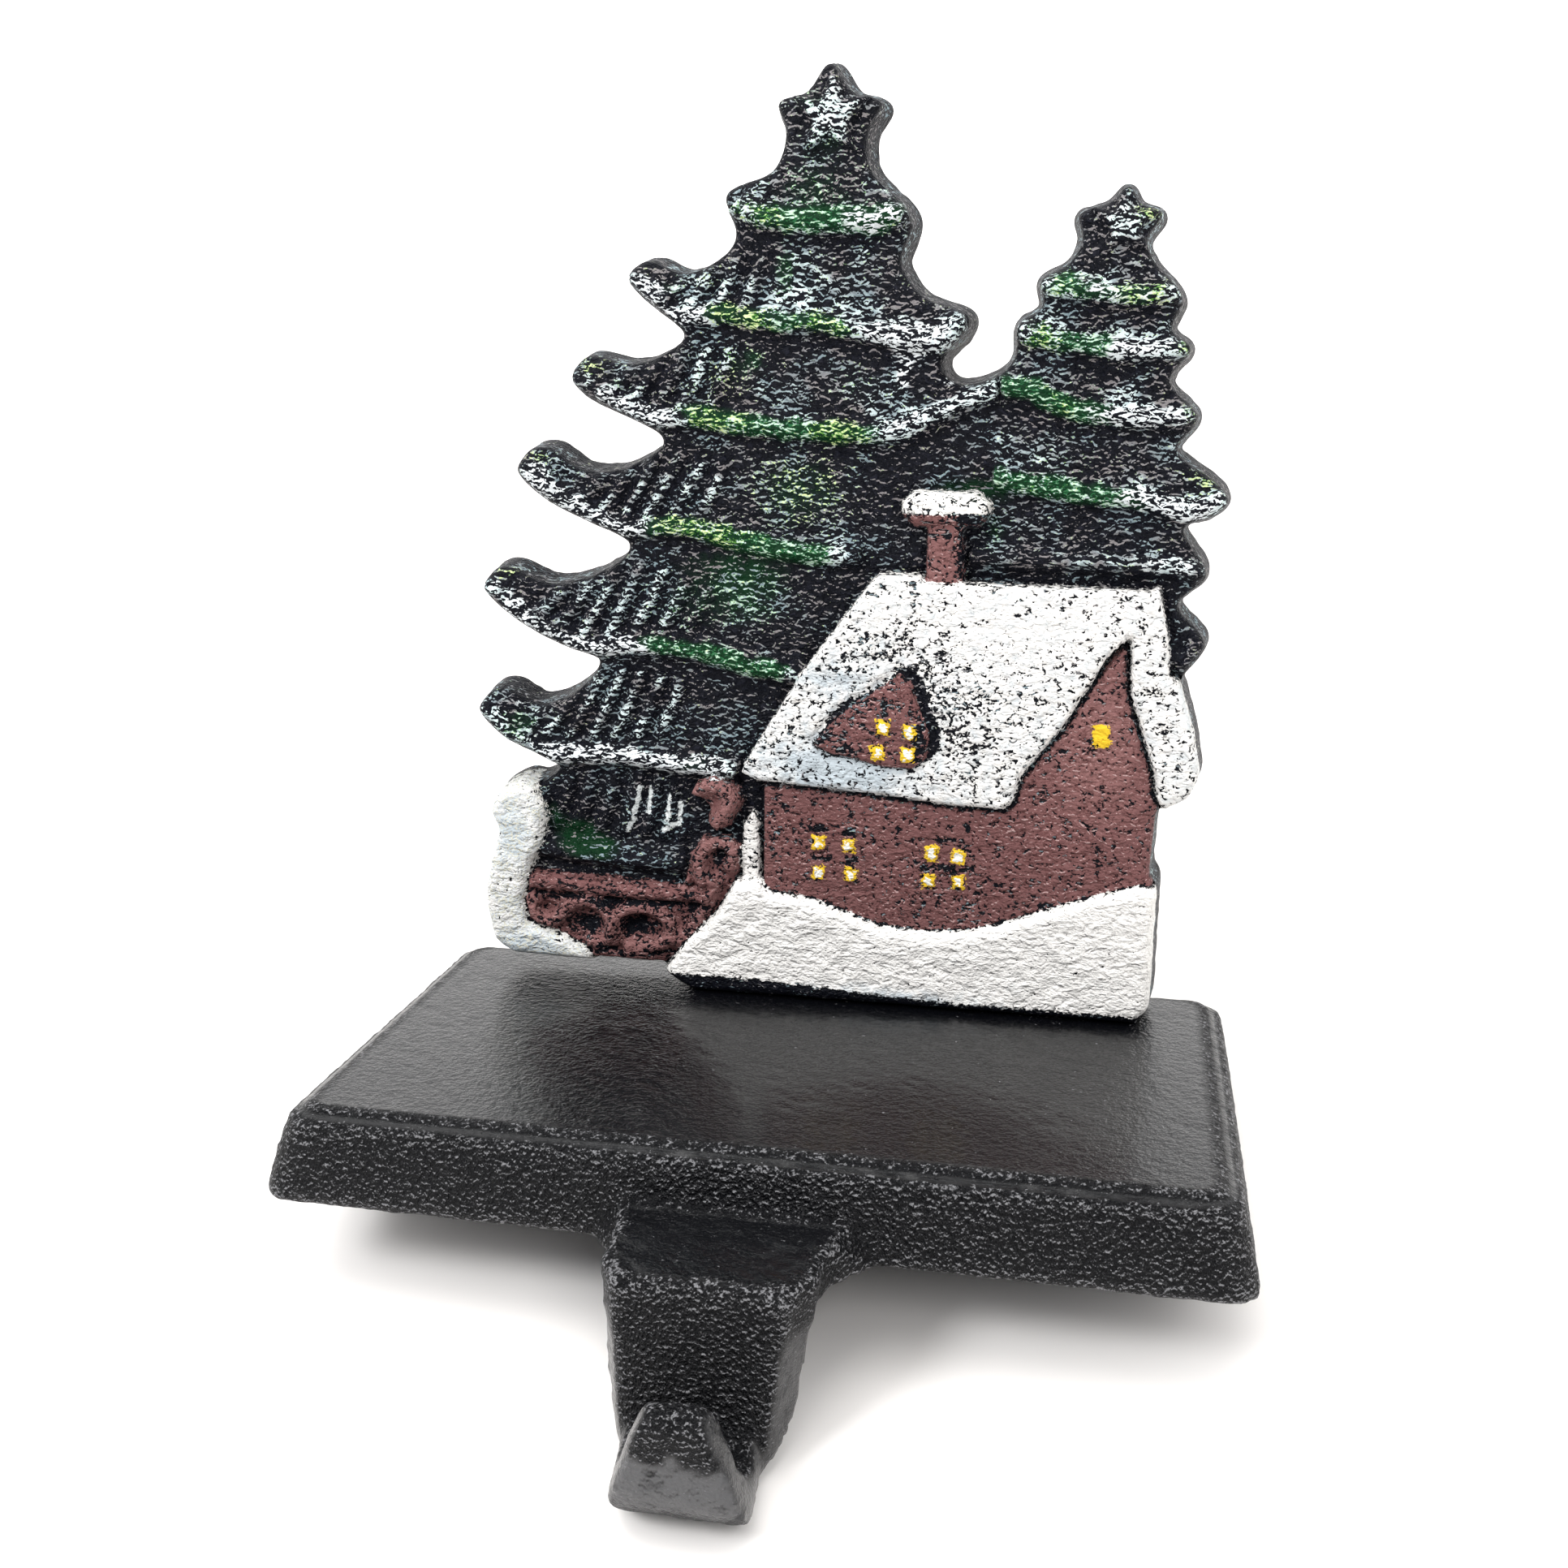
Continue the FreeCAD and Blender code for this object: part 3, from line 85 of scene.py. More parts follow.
# Each tier hangs from its upper line and swells to its lip, both from left to right.
TIERS = [
    # large tree, top to bottom
    ([(-7.0, 119.3), (-3.0, 121.2), (0.4, 121.8), (3.4, 121.2), (6.0, 119.0), (11.0, 115.0)],
     [(-13.3, 114.8), (-9.5, 112.2), (-4.5, 111.7), (1.0, 111.5), (7.0, 111.5), (11.6, 113.4)]),
    ([(-26.5, 107.3), (-21.0, 106.0), (-16.8, 107.3), (-13.3, 109.6), (-8.5, 112.0), (0.0, 112.0),
      (6.0, 112.0), (10.0, 109.4), (13.7, 103.4), (18.8, 100.9)],
     [(-27.0, 105.2), (-23.5, 102.4), (-20.0, 100.4), (-14.5, 99.5), (-8.5, 98.6), (0.0, 98.2),
      (6.0, 97.1), (10.0, 96.3), (15.8, 97.0), (18.8, 99.6)]),
    ([(-35.2, 94.0), (-29.5, 93.4), (-24.7, 94.4), (-20.4, 97.0), (-14.5, 100.0), (-8.5, 99.1), (0.0, 98.7),
      (6.0, 97.6), (10.0, 96.8), (15.0, 94.6), (19.3, 91.0), (25.0, 92.2)],
     [(-35.8, 91.5), (-30.5, 88.4), (-24.8, 86.2), (-18.6, 85.2), (-12.5, 84.2), (-6.5, 83.7), (0.0, 83.4),
      (6.0, 83.0), (12.0, 83.6), (17.0, 86.2), (21.5, 88.2), (25.0, 89.4)]),
    ([(-44.2, 80.4), (-41.0, 81.2), (-36.0, 78.4), (-30.5, 78.6), (-26.0, 80.6), (-20.5, 85.5),
      (-12.5, 84.7), (-6.5, 84.2), (0.0, 83.9), (6.0, 83.5)],
     [(-44.6, 77.8), (-40.5, 74.9), (-34.8, 72.3), (-29.0, 70.4), (-20.5, 69.3), (-14.5, 68.2),
      (-10.5, 67.3), (-4.5, 66.3), (1.5, 65.9), (6.0, 65.9)]),
    ([(-50.1, 62.8), (-47.3, 63.6), (-42.0, 61.4), (-36.4, 62.3), (-31.2, 64.8), (-27.5, 69.9),
      (-20.5, 69.7), (-12.5, 68.1), (-6.5, 67.1), (2.0, 66.3)],
     [(-50.7, 60.3), (-45.4, 56.5), (-39.0, 53.7), (-34.0, 52.5), (-28.5, 51.6), (-20.5, 51.4),
      (-14.5, 50.1), (-10.5, 49.1), (-6.5, 48.6), (-3.0, 48.0)]),
    ([(-51.6, 44.2), (-48.4, 44.8), (-44.2, 42.6), (-40.0, 43.8), (-36.0, 46.4), (-33.0, 51.6),
      (-24.0, 51.8), (-16.0, 50.8), (-8.0, 49.2)],
     [(-52.2, 41.7), (-48.4, 38.7), (-44.0, 36.9), (-40.5, 35.5), (-36.5, 34.4), (-28.5, 34.4),
      (-22.5, 33.7), (-18.5, 33.4), (-13.0, 33.0)]),
    ([(-44.3, 30.3), (-40.5, 32.5), (-30.0, 34.8), (-20.0, 34.0)],
     [(-44.8, 19.4), (-38.0, 18.4), (-30.0, 18.0), (-20.5, 17.8)]),
    # small tree, top to bottom
    ([(30.9, 105.6), (34.3, 107.8), (39.0, 111.5), (43.8, 108.6), (48.0, 104.2)],
     [(30.9, 103.8), (34.5, 102.7), (39.0, 102.0), (44.0, 101.8), (48.1, 102.9)]),
    ([(28.0, 99.4), (31.2, 101.9), (38.0, 102.5), (46.0, 102.0), (49.7, 97.5)],
     [(28.0, 97.4), (32.0, 96.0), (38.0, 95.2), (44.0, 94.6), (49.4, 96.2)]),
    ([(25.6, 92.7), (28.2, 96.0), (32.0, 96.4), (37.0, 95.6), (42.0, 95.2), (47.3, 93.6), (51.0, 88.8)],
     [(25.6, 89.7), (29.0, 89.3), (32.0, 87.8), (36.0, 86.5), (42.0, 86.0), (47.6, 85.9), (50.9, 87.2)]),
    ([(24.5, 86.0), (29.0, 89.0), (36.0, 86.9), (43.0, 86.4), (49.4, 83.4), (55.6, 77.8)],
     [(24.5, 77.5), (30.0, 76.2), (37.0, 75.3), (44.0, 75.1), (50.0, 74.8), (55.4, 76.0)]),
    ([(24.0, 74.0), (30.0, 76.6), (38.0, 75.7), (50.0, 73.2), (53.5, 67.4)],
     [(21.0, 66.5), (30.0, 66.3), (40.0, 66.2), (48.0, 66.0), (53.3, 66.0)]),
    ([(49.5, 65.5), (50.6, 62.0), (54.0, 57.6)],
     [(49.5, 53.0), (51.0, 53.2), (53.6, 56.0)]),
]
STARS = [(0.7, 127.2, 6.0), (40.7, 112.8, 4.6)]

WALLS = [(-8.0, 35.0), (-8.0, 10.0), (48.4, 10.0), (48.8, 22.0), (49.4, 33.0), (49.0, 38.0), (47.3, 43.0),
         (45.1, 49.5), (44.6, 57.5), (30.0, 38.0)]
ROOF = [(8.0, 64.8), (8.9, 65.6), (15.0, 65.6), (15.6, 64.6), (47.0, 64.3), (48.3, 64.8), (50.0, 57.5),
        (50.4, 52.5), (52.0, 51.0), (54.0, 44.0), (55.2, 38.0), (54.0, 35.2), (50.2, 33.0), (49.6, 34.5),
        (49.0, 38.0), (47.3, 43.0), (45.1, 49.5), (44.7, 57.6), (42.0, 55.0), (38.0, 48.0), (36.0, 44.5),
        (33.0, 40.5), (30.3, 36.8), (29.3, 33.0), (28.0, 31.7), (20.0, 31.9), (10.0, 32.9), (0.0, 33.5),
        (-9.0, 34.1), (-11.4, 35.2), (-11.0, 36.5), (-2.0, 51.2)]
DORMER = [(12.3, 51.3), (9.0, 48.8), (5.0, 46.0), (3.2, 44.5), (-0.2, 40.3), (2.5, 39.0), (6.0, 38.5),
          (10.0, 37.5), (14.5, 37.4), (16.6, 39.2), (16.8, 43.0), (15.0, 47.0), (14.2, 50.0)]
CHIMNEY_STACK = [(15.4, 63.0), (21.0, 63.0), (20.8, 73.0), (15.6, 73.0)]
CHIMNEY_CAP = [(13.6, 72.3), (22.8, 72.3), (24.6, 74.0), (24.6, 75.8), (22.8, 77.4), (13.6, 77.4),
               (11.8, 75.8), (11.8, 74.0)]
DORMER_PANES = [(10.2, 43.5), (14.0, 42.9), (9.5, 39.7), (13.9, 39.6)]
WALL_PANES = [(0.6, 25.1), (5.2, 24.9), (0.7, 20.3), (5.6, 20.4), (17.6, 24.5), (21.6, 24.2), (17.2, 20.2),
              (21.7, 20.3)]
PANE = (1.8, 2.1)
ATTIC_PANE = (41.3, 43.4)
ATTIC_SIZE = (2.3, 3.1)

SNOW_BANK = [(-23.7, 3.1), (-20.5, 7.3), (-15.2, 13.0), (-12.2, 18.2), (-8.3, 18.6), (-6.8, 17.0),
             (0.0, 16.2), (5.5, 14.3), (10.0, 12.8), (16.0, 12.2), (24.0, 13.0), (30.0, 15.0), (38.0, 18.2),
             (48.0, 21.6), (50.0, 20.6), (50.0, 2.6), (48.4, 0.4), (-19.0, 0.4), (-21.5, 2.2)]
SNOW_STRIP = [(-11.6, 18.0), (-8.5, 18.0), (-8.7, 27.0), (-9.7, 29.2), (-11.3, 27.0)]
SLEIGH_BACK = [(-34.5, 3.3), (-48.4, 3.4), (-51.4, 5.6), (-52.7, 12.5), (-51.5, 19.2), (-50.0, 23.8),
               (-51.3, 26.6), (-50.3, 29.2), (-47.0, 31.2), (-44.4, 31.0), (-42.7, 28.3), (-42.3, 26.0),
               (-43.0, 22.0), (-44.6, 19.0), (-45.2, 17.3), (-46.3, 12.5), (-45.8, 9.2), (-41.0, 7.6),
               (-36.0, 5.2)]
SLEIGH_SIDE = [(-46.0, 17.3), (-47.0, 12.0), (-46.4, 8.4), (-41.0, 6.4), (-36.0, 4.0), (-24.0, 3.4),
               (-20.0, 6.6), (-15.0, 12.4), (-12.0, 17.6), (-20.0, 16.6)]
SLEIGH_RAIL = [(-45.6, 16.9), (-45.8, 14.4), (-31.0, 13.8), (-16.6, 13.8), (-15.2, 16.2), (-31.0, 16.2)]
SLEIGH_POST = [(-20.4, 16.8), (-13.5, 16.2), (-11.6, 19.8), (-11.4, 23.5), (-13.5, 24.9), (-17.6, 24.6),
               (-19.4, 21.4)]
SCROLL_HEAD = [(-19.4, 31.4), (-18.2, 33.4), (-15.6, 34.4), (-12.6, 33.2), (-11.0, 30.6), (-12.2, 28.4),
               (-13.2, 26.4), (-15.2, 25.6), (-16.8, 27.0), (-16.4, 29.4), (-17.6, 30.6)]
# Scrollwork: half width, height, then the middle line of each raised strand.
STRANDS = [
    (1.15, 1.1, [(-45.0, 12.8), (-44.4, 10.2), (-42.2, 9.3), (-40.4, 10.4), (-38.8, 12.2), (-36.0, 13.0),
                 (-33.4, 11.9), (-32.3, 9.2), (-33.2, 6.6), (-35.4, 6.4)]),
    (1.15, 1.1, [(-31.6, 7.0), (-31.2, 10.6), (-28.6, 12.4), (-25.0, 12.2), (-22.8, 10.2), (-23.2, 7.6),
                 (-26.2, 6.3), (-29.4, 6.2)]),
    (0.8, 0.8, [(-34.8, 4.4), (-31.0, 4.6), (-26.0, 4.4)]),
    (0.9, 0.8, [(-20.3, 16.6), (-20.5, 19.6), (-19.2, 22.8)]),
    (1.2, 1.0, [(-17.4, 17.4), (-18.0, 20.4), (-16.7, 23.2), (-14.2, 24.0), (-12.4, 22.4), (-13.0, 20.4)]),
    (1.0, 0.8, [(-15.2, 17.8), (-17.0, 13.0), (-21.4, 7.2)]),
    (1.3, 0.7, [(-18.4, 32.0), (-15.6, 33.0), (-12.9, 31.4), (-13.6, 28.6), (-15.0, 26.8)]),
]

# Needle ridges fan over the left half of each lower tier: upper end, lower end.
NEEDLES = [
    ((-41.5, 79.0), (-40.5, 77.0)), ((-33.0, 78.2), (-35.5, 75.5)), ((-28.5, 79.0), (-32.0, 74.6)),
    ((-25.0, 80.6), (-28.5, 74.2)), ((-21.5, 81.0), (-25.5, 73.8)), ((-18.0, 80.0), (-21.5, 74.4)),
    ((-14.5, 80.0), (-17.0, 75.0)),
    ((-39.0, 61.4), (-43.5, 57.6)), ((-34.5, 62.6), (-39.5, 56.8)), ((-31.0, 64.4), (-35.5, 56.4)),
    ((-27.5, 65.0), (-31.5, 56.6)), ((-24.0, 64.0), (-27.5, 57.0)), ((-20.5, 63.0), (-23.5, 57.0)),
    ((-17.0, 62.0), (-19.5, 57.0)),
    ((-42.0, 43.0), (-45.5, 39.6)), ((-37.5, 45.2), (-42.0, 40.2)), ((-33.8, 48.0), (-38.0, 40.6)),
    ((-30.5, 48.6), (-34.5, 40.6)), ((-27.5, 48.6), (-31.0, 40.8)), ((-24.5, 48.0), (-27.5, 40.8)),
    ((-21.5, 47.0), (-24.0, 41.0)),
    ((-39.0, 31.6), (-41.0, 26.0)), ((-35.5, 32.4), (-37.5, 26.0)), ((-31.8, 32.6), (-33.8, 26.0)),
    ((-28.0, 32.6), (-30.0, 25.6)), ((-25.0, 32.0), (-26.4, 25.4)), ((-22.4, 31.0), (-23.6, 25.4)),
    ((-29.0, 92.4), (-31.5, 90.6)), ((-24.5, 93.4), (-28.0, 89.8)), ((-20.5, 95.2), (-24.0, 89.6)),
    ((-17.0, 96.0), (-20.0, 89.6)), ((-13.5, 95.4), (-16.0, 89.6)),
    ((-20.5, 105.0), (-23.0, 103.6)), ((-16.5, 106.0), (-19.5, 103.0)), ((-12.5, 108.2), (-15.0, 103.4)),
    ((-9.0, 108.6), (-11.0, 103.6)),
]
# Paint along the tiers' lips: tier, colour, from, to, strength.
LIP_PAINT = [
    (0, "green", -12.0, 10.0, 0.8), (0, "white", 1.0, 11.0, 0.8), (0, "lime", -11.0, -4.0, 0.35),
    (1, "white", -28.0, -15.0, 0.8), (1, "green", -16.0, 4.0, 0.9), (1, "lime", -14.5, -7.5, 0.9),
    (1, "lime", -2.0, 2.5, 0.8), (1, "white", 5.0, 19.0, 0.8),
    (2, "white", -34.0, -20.0, 0.8), (2, "green", -20.0, 9.0, 0.9), (2, "lime", -18.5, -12.0, 0.9),
    (2, "lime", -1.0, 6.5, 0.9), (2, "white", 9.0, 25.0, 0.6),
    (3, "white", -44.0, -25.0, 0.8), (3, "green", -27.0, 3.0, 0.9), (3, "lime", -24.5, -9.5, 0.75),
    (4, "white", -49.0, -24.0, 0.8), (4, "green", -26.0, -4.0, 1.0), (4, "white", -22.0, -12.0, 0.35),
    (5, "white", -44.0, -13.0, 1.1), (5, "green", -22.0, -17.0, 0.6),
    (7, "green", 31.0, 44.0, 0.8), (7, "lime", 41.0, 48.0, 0.9), (7, "lime", 31.0, 35.0, 0.4),
    (7, "white", 35.0, 44.0, 0.6),
    (8, "green", 27.5, 40.0, 0.9), (8, "lime", 28.0, 32.0, 0.7), (8, "white", 37.0, 49.0, 0.8),
    (9, "green", 26.0, 41.0, 1.0), (9, "lime", 31.0, 36.0, 0.45), (9, "white", 38.0, 50.0, 0.8),
    (10, "green", 22.0, 45.0, 0.9), (10, "white", 40.0, 55.0, 0.8), (10, "white", 24.0, 30.0, 0.4),
    (11, "white", 44.0, 53.0, 0.6), (12, "white", 50.0, 54.0, 0.4),
]
DARK_TIER = 3  # its lip runs out in the dark between the trees
# How much the brush caught on each tier's lip and face.
LIP_CATCH = (0.95, 0.95, 0.92, 0.90, 0.95, 1.1, 0.05, 0.95, 0.95, 0.9, 0.9, 0.5, 0.6)
FACE_CATCH = (0.58, 0.48, 0.38, 0.33, 0.26, 0.22, -0.40, 0.50, 0.54, 0.48, 0.40, 0.33, 0.38)
# Where the brush left more of a colour: across, up, reach across, reach up, strength.
LIME_DABS = [
    (-33.5, 94.0, 2.2, 1.2, 0.8), (-42.5, 80.8, 2.0, 1.4, 0.7), (-47.5, 63.6, 2.2, 1.2, 0.8),
    (44.0, 114.4, 2.2, 1.2, 1.0), (49.8, 97.0, 1.6, 1.0, 0.8), (50.6, 88.4, 1.4, 1.2, 0.7),
    (53.6, 79.6, 2.4, 2.0, 0.8), (-14.0, 92.5, 4.0, 3.4, 0.45), (-2.0, 77.0, 6.0, 5.0, 0.55),
    (-23.5, 87.6, 3.0, 0.8, 0.3), (21.0, 74.9, 2.0, 0.5, 0.7), (-9.5, 115.0, 2.6, 2.0, 0.35),
    (-16.0, 106.0, 2.4, 1.6, 0.35), (9.6, 113.6, 1.6, 1.4, 0.4),
]
GREEN_DABS = [
    (-5.5, 107.0, 1.6, 3.5, 0.8), (-2.0, 117.0, 7.0, 4.5, 0.6), (2.0, 108.0, 5.0, 2.0, 0.3),
    (0.5, 124.0, 5.0, 3.5, 0.4), (-2.0, 129.5, 3.5, 2.0, 0.4), (8.0, 114.5, 4.0, 3.0, 0.5),
    (-10.0, 95.0, 2.0, 2.0, 0.5), (4.0, 92.0, 3.0, 2.5, 0.4), (-46.5, 40.5, 3.5, 2.5, 0.7),
    (-3.0, 77.0, 9.0, 7.0, 0.6), (-20.0, 60.0, 9.0, 5.0, 0.40), (-10.0, 62.0, 7.0, 6.0, 0.55),
    (-14.0, 93.0, 6.0, 4.0, 0.45), (36.0, 91.0, 6.0, 3.0, 0.35), (34.0, 81.0, 7.0, 4.0, 0.30),
    (26.0, 92.0, 2.5, 2.5, 0.5), (-22.0, 105.0, 3.0, 1.6, 0.5), (25.0, 72.0, 2.5, 3.5, 0.55),
    (33.0, 106.5, 3.0, 2.0, 0.4), (-30.0, 91.5, 3.0, 1.6, 0.4), (-40.0, 79.0, 4.0, 2.0, 0.3),
]
WASH_DABS = [
    (-37.5, 23.0, 3.6, 3.0, 1.0), (-33.0, 21.5, 3.0, 2.0, 0.6), (-41.5, 26.5, 1.6, 2.5, 0.6),
    (22.0, 77.5, 7.0, 2.0, 0.7), (-14.0, 66.0, 10.0, 3.0, 0.35),
]
# Black left in the brown: in the scrollwork's hollows, down the chimney stack's right side, round the dormer.
# Painted shade: above and between the panes, under the chimney's cap and down the dormer's right side.
BARE_AND_SHADE_DABS = [
    (-36.0, 9.0, 2.3, 1.5, 1.0), (-28.0, 9.4, 2.9, 1.4, 1.0), (-32.4, 12.6, 1.6, 1.0, 0.8),
    (-26.0, 13.4, 9.0, 0.55, 0.75), (-38.5, 13.7, 6.0, 0.5, 0.55), (-33.0, 5.4, 2.6, 0.7, 0.7),
    (-24.5, 5.0, 3.0, 0.8, 0.6), (-14.7, 21.6, 1.1, 1.5, 1.0), (-19.0, 12.5, 1.3, 2.4, 0.7),
    (-43.4, 8.4, 1.2, 0.8, 0.5), (-13.8, 25.2, 2.4, 0.8, 0.8), (-19.3, 30.0, 1.2, 1.0, 0.7),
    (20.9, 68.0, 1.0, 5.0, 0.75), (22.6, 73.4, 2.4, 1.2, 0.9), (18.6, 71.4, 3.6, 0.8, 0.6),
    (0.8, 41.4, 1.4, 1.4, 0.7), (5.6, 46.8, 2.2, 0.8, 0.7), (4.6, 40.2, 1.2, 1.0, 0.4),
    (15.4, 41.0, 1.0, 4.0, 0.75), (11.9, 46.4, 1.6, 1.0, 0.4),
    (0.4, 27.2, 1.5, 0.6, 1.0), (5.4, 27.0, 1.7, 0.7, 1.0), (0.8, 22.6, 1.6, 0.5, 0.9),
    (5.4, 22.6, 1.3, 0.7, 1.0), (19.6, 26.6, 2.6, 0.55, 0.7), (19.4, 22.4, 2.8, 0.6, 0.9),
    (28.0, 12.9, 6.0, 0.7, 0.5), (36.0, 17.6, 3.0, 0.7, 0.5),
]
WHITE_DABS = [
    (12.6, 96.4, 1.9, 1.6, 1.3), (11.6, 93.2, 1.2, 2.2, 1.1), (18.0, 92.4, 2.4, 1.0, 0.9),
    (14.5, 100.5, 4.0, 1.6, 0.6), (-42.5, 79.6, 1.8, 1.4, 0.9), (-39.5, 77.6, 3.0, 1.5, 0.5),
    (-22.0, 105.4, 4.0, 1.4, 0.5), (1.0, 130.5, 2.5, 2.5, 0.6), (0.6, 126.4, 5.0, 1.6, 0.6),
    (40.4, 114.6, 3.5, 1.8, 0.6), (-46.0, 43.2, 4.0, 1.6, 0.5), (-44.5, 61.5, 5.0, 1.6, 0.4),
    (-35.0, 43.0, 5.0, 2.5, 0.35), (-26.0, 42.5, 4.0, 3.0, 0.3), (8.0, 117.0, 3.0, 1.5, 0.5),
    (51.0, 83.5, 1.6, 2.0, 0.6), (8.0, 88.5, 5.0, 2.0, 0.3), (46.5, 106.5, 1.5, 1.5, 0.5),
]
BETWEEN_TREES = [(21.0, 78.0, 4.0, 12.0, 0.3)]
# Snow that shows blue, full cover, worn cover, painted shade on the roof by the dormer and the paler parts of
# the brown.
THIN_SNOW = [
    (4.0, 37.0, 9.0, 3.6, 0.75), (12.0, 1.2, 16.0, 2.2, 0.6), (-46.0, 5.0, 4.0, 1.8, 0.8),
    (-48.0, 24.0, 3.0, 4.0, 0.35), (3.0, 50.0, 6.0, 3.0, 0.3),
]
DENSE_SNOW = [(30.0, 59.0, 13.0, 6.0, 0.34)]
WORN_SNOW = [(18.0, 45.0, 7.0, 6.0, 0.5), (12.0, 55.0, 9.0, 3.0, 0.3)]
DORMER_SHADE_DABS = [(4.0, 45.6, 3.0, 2.4, 0.9)]
PALE_BROWN = [(41.0, 42.0, 6.0, 11.0, 1.0), (17.0, 68.0, 3.0, 7.0, 0.6)]
# Hollows in the scrollwork: across, up, reach across, reach up.
HOLLOWS = [
    (-36.0, 9.3, 1.7, 1.1), (-28.2, 9.6, 2.0, 1.1), (-43.2, 11.4, 0.9, 0.8), (-14.6, 22.0, 0.9, 0.8),
]
SLEIGH_TOP = 33.0
CAP_SNOW = 74.2  # the chimney cap's snow starts here
FOOT = 0.35  # share of a raised part's height at its outline
SLEIGH_LEDGE = [(-43.5, 18.4), (-38.0, 17.6), (-22.0, 17.4)]
# Thin white strokes on the needles inside the sleigh.
STROKES = [
    ((-27.6, 31.6), (-28.4, 27.4)), ((-28.8, 26.4), (-29.6, 24.6)), ((-25.9, 31.6), (-26.2, 27.6)),
    ((-22.9, 30.2), (-23.2, 26.6)), ((-21.3, 29.4), (-21.6, 25.8)), ((-23.8, 25.0), (-22.0, 26.0)),
]


def smooth_run(points, steps):
    """Points of a smooth curve through the given points, with some more between each two."""
    last = len(points) - 1
    result = []
    for index in range(last):
        before, start = points[max(index - 1, 0)], points[index]
        end, after = points[index + 1], points[min(index + 2, last)]
        for step in range(steps):
            part = step / steps
            result.append(tuple((2 * b + part * (c - a) + part ** 2 * (2 * a - 5 * b + 4 * c - d)
                                 + part ** 3 * (3 * b - a - 3 * c + d)) / 2
                                for a, b, c, d in zip(before, start, end, after)))
    return result + [points[last]]


def even_run(points, spacing):
    """The closed outline as an array of points at an even spacing."""
    ring = np.array(points + points[:1])
    length = np.concatenate([[0], np.cumsum(np.hypot(*np.diff(ring, axis=0).T))])
    places = np.linspace(0, length[-1], int(length[-1] / spacing), endpoint=False)
    return np.column_stack([np.interp(places, length, ring[:, 0]), np.interp(places, length, ring[:, 1])])


def softened(ring, rounds):
    """A closed ring of points with its corners softened."""
    for _ in range(rounds):
        ring = (np.roll(ring, 1, 0) + 2 * ring + np.roll(ring, -1, 0)) / 4
    return ring


def to_line(x, z, line):
    """Distance from each place to a run of points."""
    nearest = np.full(x.shape, 1e9)
    for (x1, z1), (x2, z2) in zip(line, line[1:]):
        dx, dz = x2 - x1, z2 - z1
        along = np.clip(((x - x1) * dx + (z - z1) * dz) / (dx * dx + dz * dz + 1e-12), 0, 1)
        nearest = np.minimum(nearest, np.hypot(x - x1 - along * dx, z - z1 - along * dz))
    return nearest


def depth_in(x, z, outline):
    """Distance from each place to a closed outline: positive inside it, negative outside."""
    outline = list(outline)
    inside = np.zeros(x.shape, bool)
    for (x1, z1), (x2, z2) in zip(outline, outline[1:] + outline[:1]):
        if z1 != z2:
            crossed = (z1 > z) != (z2 > z)
            inside ^= crossed & (x < x1 + (z - z1) * (x2 - x1) / (z2 - z1))
    distance = to_line(x, z, outline + outline[:1])
    return np.where(inside, distance, -distance)


def ramp(value, low, high):
    """Smooth step from 0 at low to 1 at high."""
    part = np.clip((value - low) / (high - low), 0, 1)
    return part * part * (3 - 2 * part)


def dome(depth, radius):
    """Quarter-round profile: 0 at the outline, 1 from the radius inwards."""
    part = np.clip(depth / radius, 0, 1)
    return np.sqrt(part * (2 - part))


def near(away, reach, power=2):
    """1 on a line, falling off softly beside it."""
    return np.exp(-(away / reach) ** power)


GRID = 257  # random heights repeat after this many


def lumps(x, z, spacing, seed):
    """Smooth random heights from -1 to 1, a new one each spacing."""
    values = np.random.default_rng(seed).uniform(-1, 1, (GRID, GRID))
    u, w = x / spacing + 100, z / spacing + 20
    column, row = np.floor(u).astype(int), np.floor(w).astype(int)
    u, w = ramp(u - column, 0, 1), ramp(w - row, 0, 1)
    corner = [[values[(row + j) % GRID, (column + i) % GRID] for i in (0, 1)] for j in (0, 1)]
    low = corner[0][0] * (1 - u) + corner[0][1] * u
    high = corner[1][0] * (1 - u) + corner[1][1] * u
    return low * (1 - w) + high * w


def dabs(x, z, places):
    """Soft spots of paint added up."""
    total = np.zeros(x.shape)
    for centre_x, centre_z, reach_x, reach_z, strength in places:
        total += strength * np.exp(-((x - centre_x) / reach_x) ** 2 - ((z - centre_z) / reach_z) ** 2)
    return total


def raised(height, depth, rise, radius, foot):
    """The height with a raised part on it, whose outline stands at a share of the part's height."""
    return np.maximum(height, np.where(depth > 0, rise * (foot + (1 - foot) * dome(depth, radius)), -9))


def depth_in_panes(x, z, places, extent):
    """Distance into the nearest of some small upright rectangles of one size."""
    wide, high = extent
    return np.max([depth_in(x, z, [(px - wide / 2, pz - high / 2), (px + wide / 2, pz - high / 2),
                                   (px + wide / 2, pz + high / 2), (px - wide / 2, pz + high / 2)])
                   for px, pz in places], axis=0)


def star_outline(centre_x, centre_z, radius):
    """Outline of a five-pointed star."""
    return [(centre_x + reach * math.cos(angle), centre_z + reach * math.sin(angle))
            for angle, reach in ((math.radians(90 + 36 * turn), radius * (1 if turn % 2 == 0 else 0.48))
                                 for turn in range(10))]


# The plaque's outline at an even spacing, with the picture on its left all the way round.
EDGE_STEP = 0.34
EDGE = softened(even_run(smooth_run(TREES_EDGE, 8) + HOUSE_EDGE, EDGE_STEP), 6)[::-1].copy()


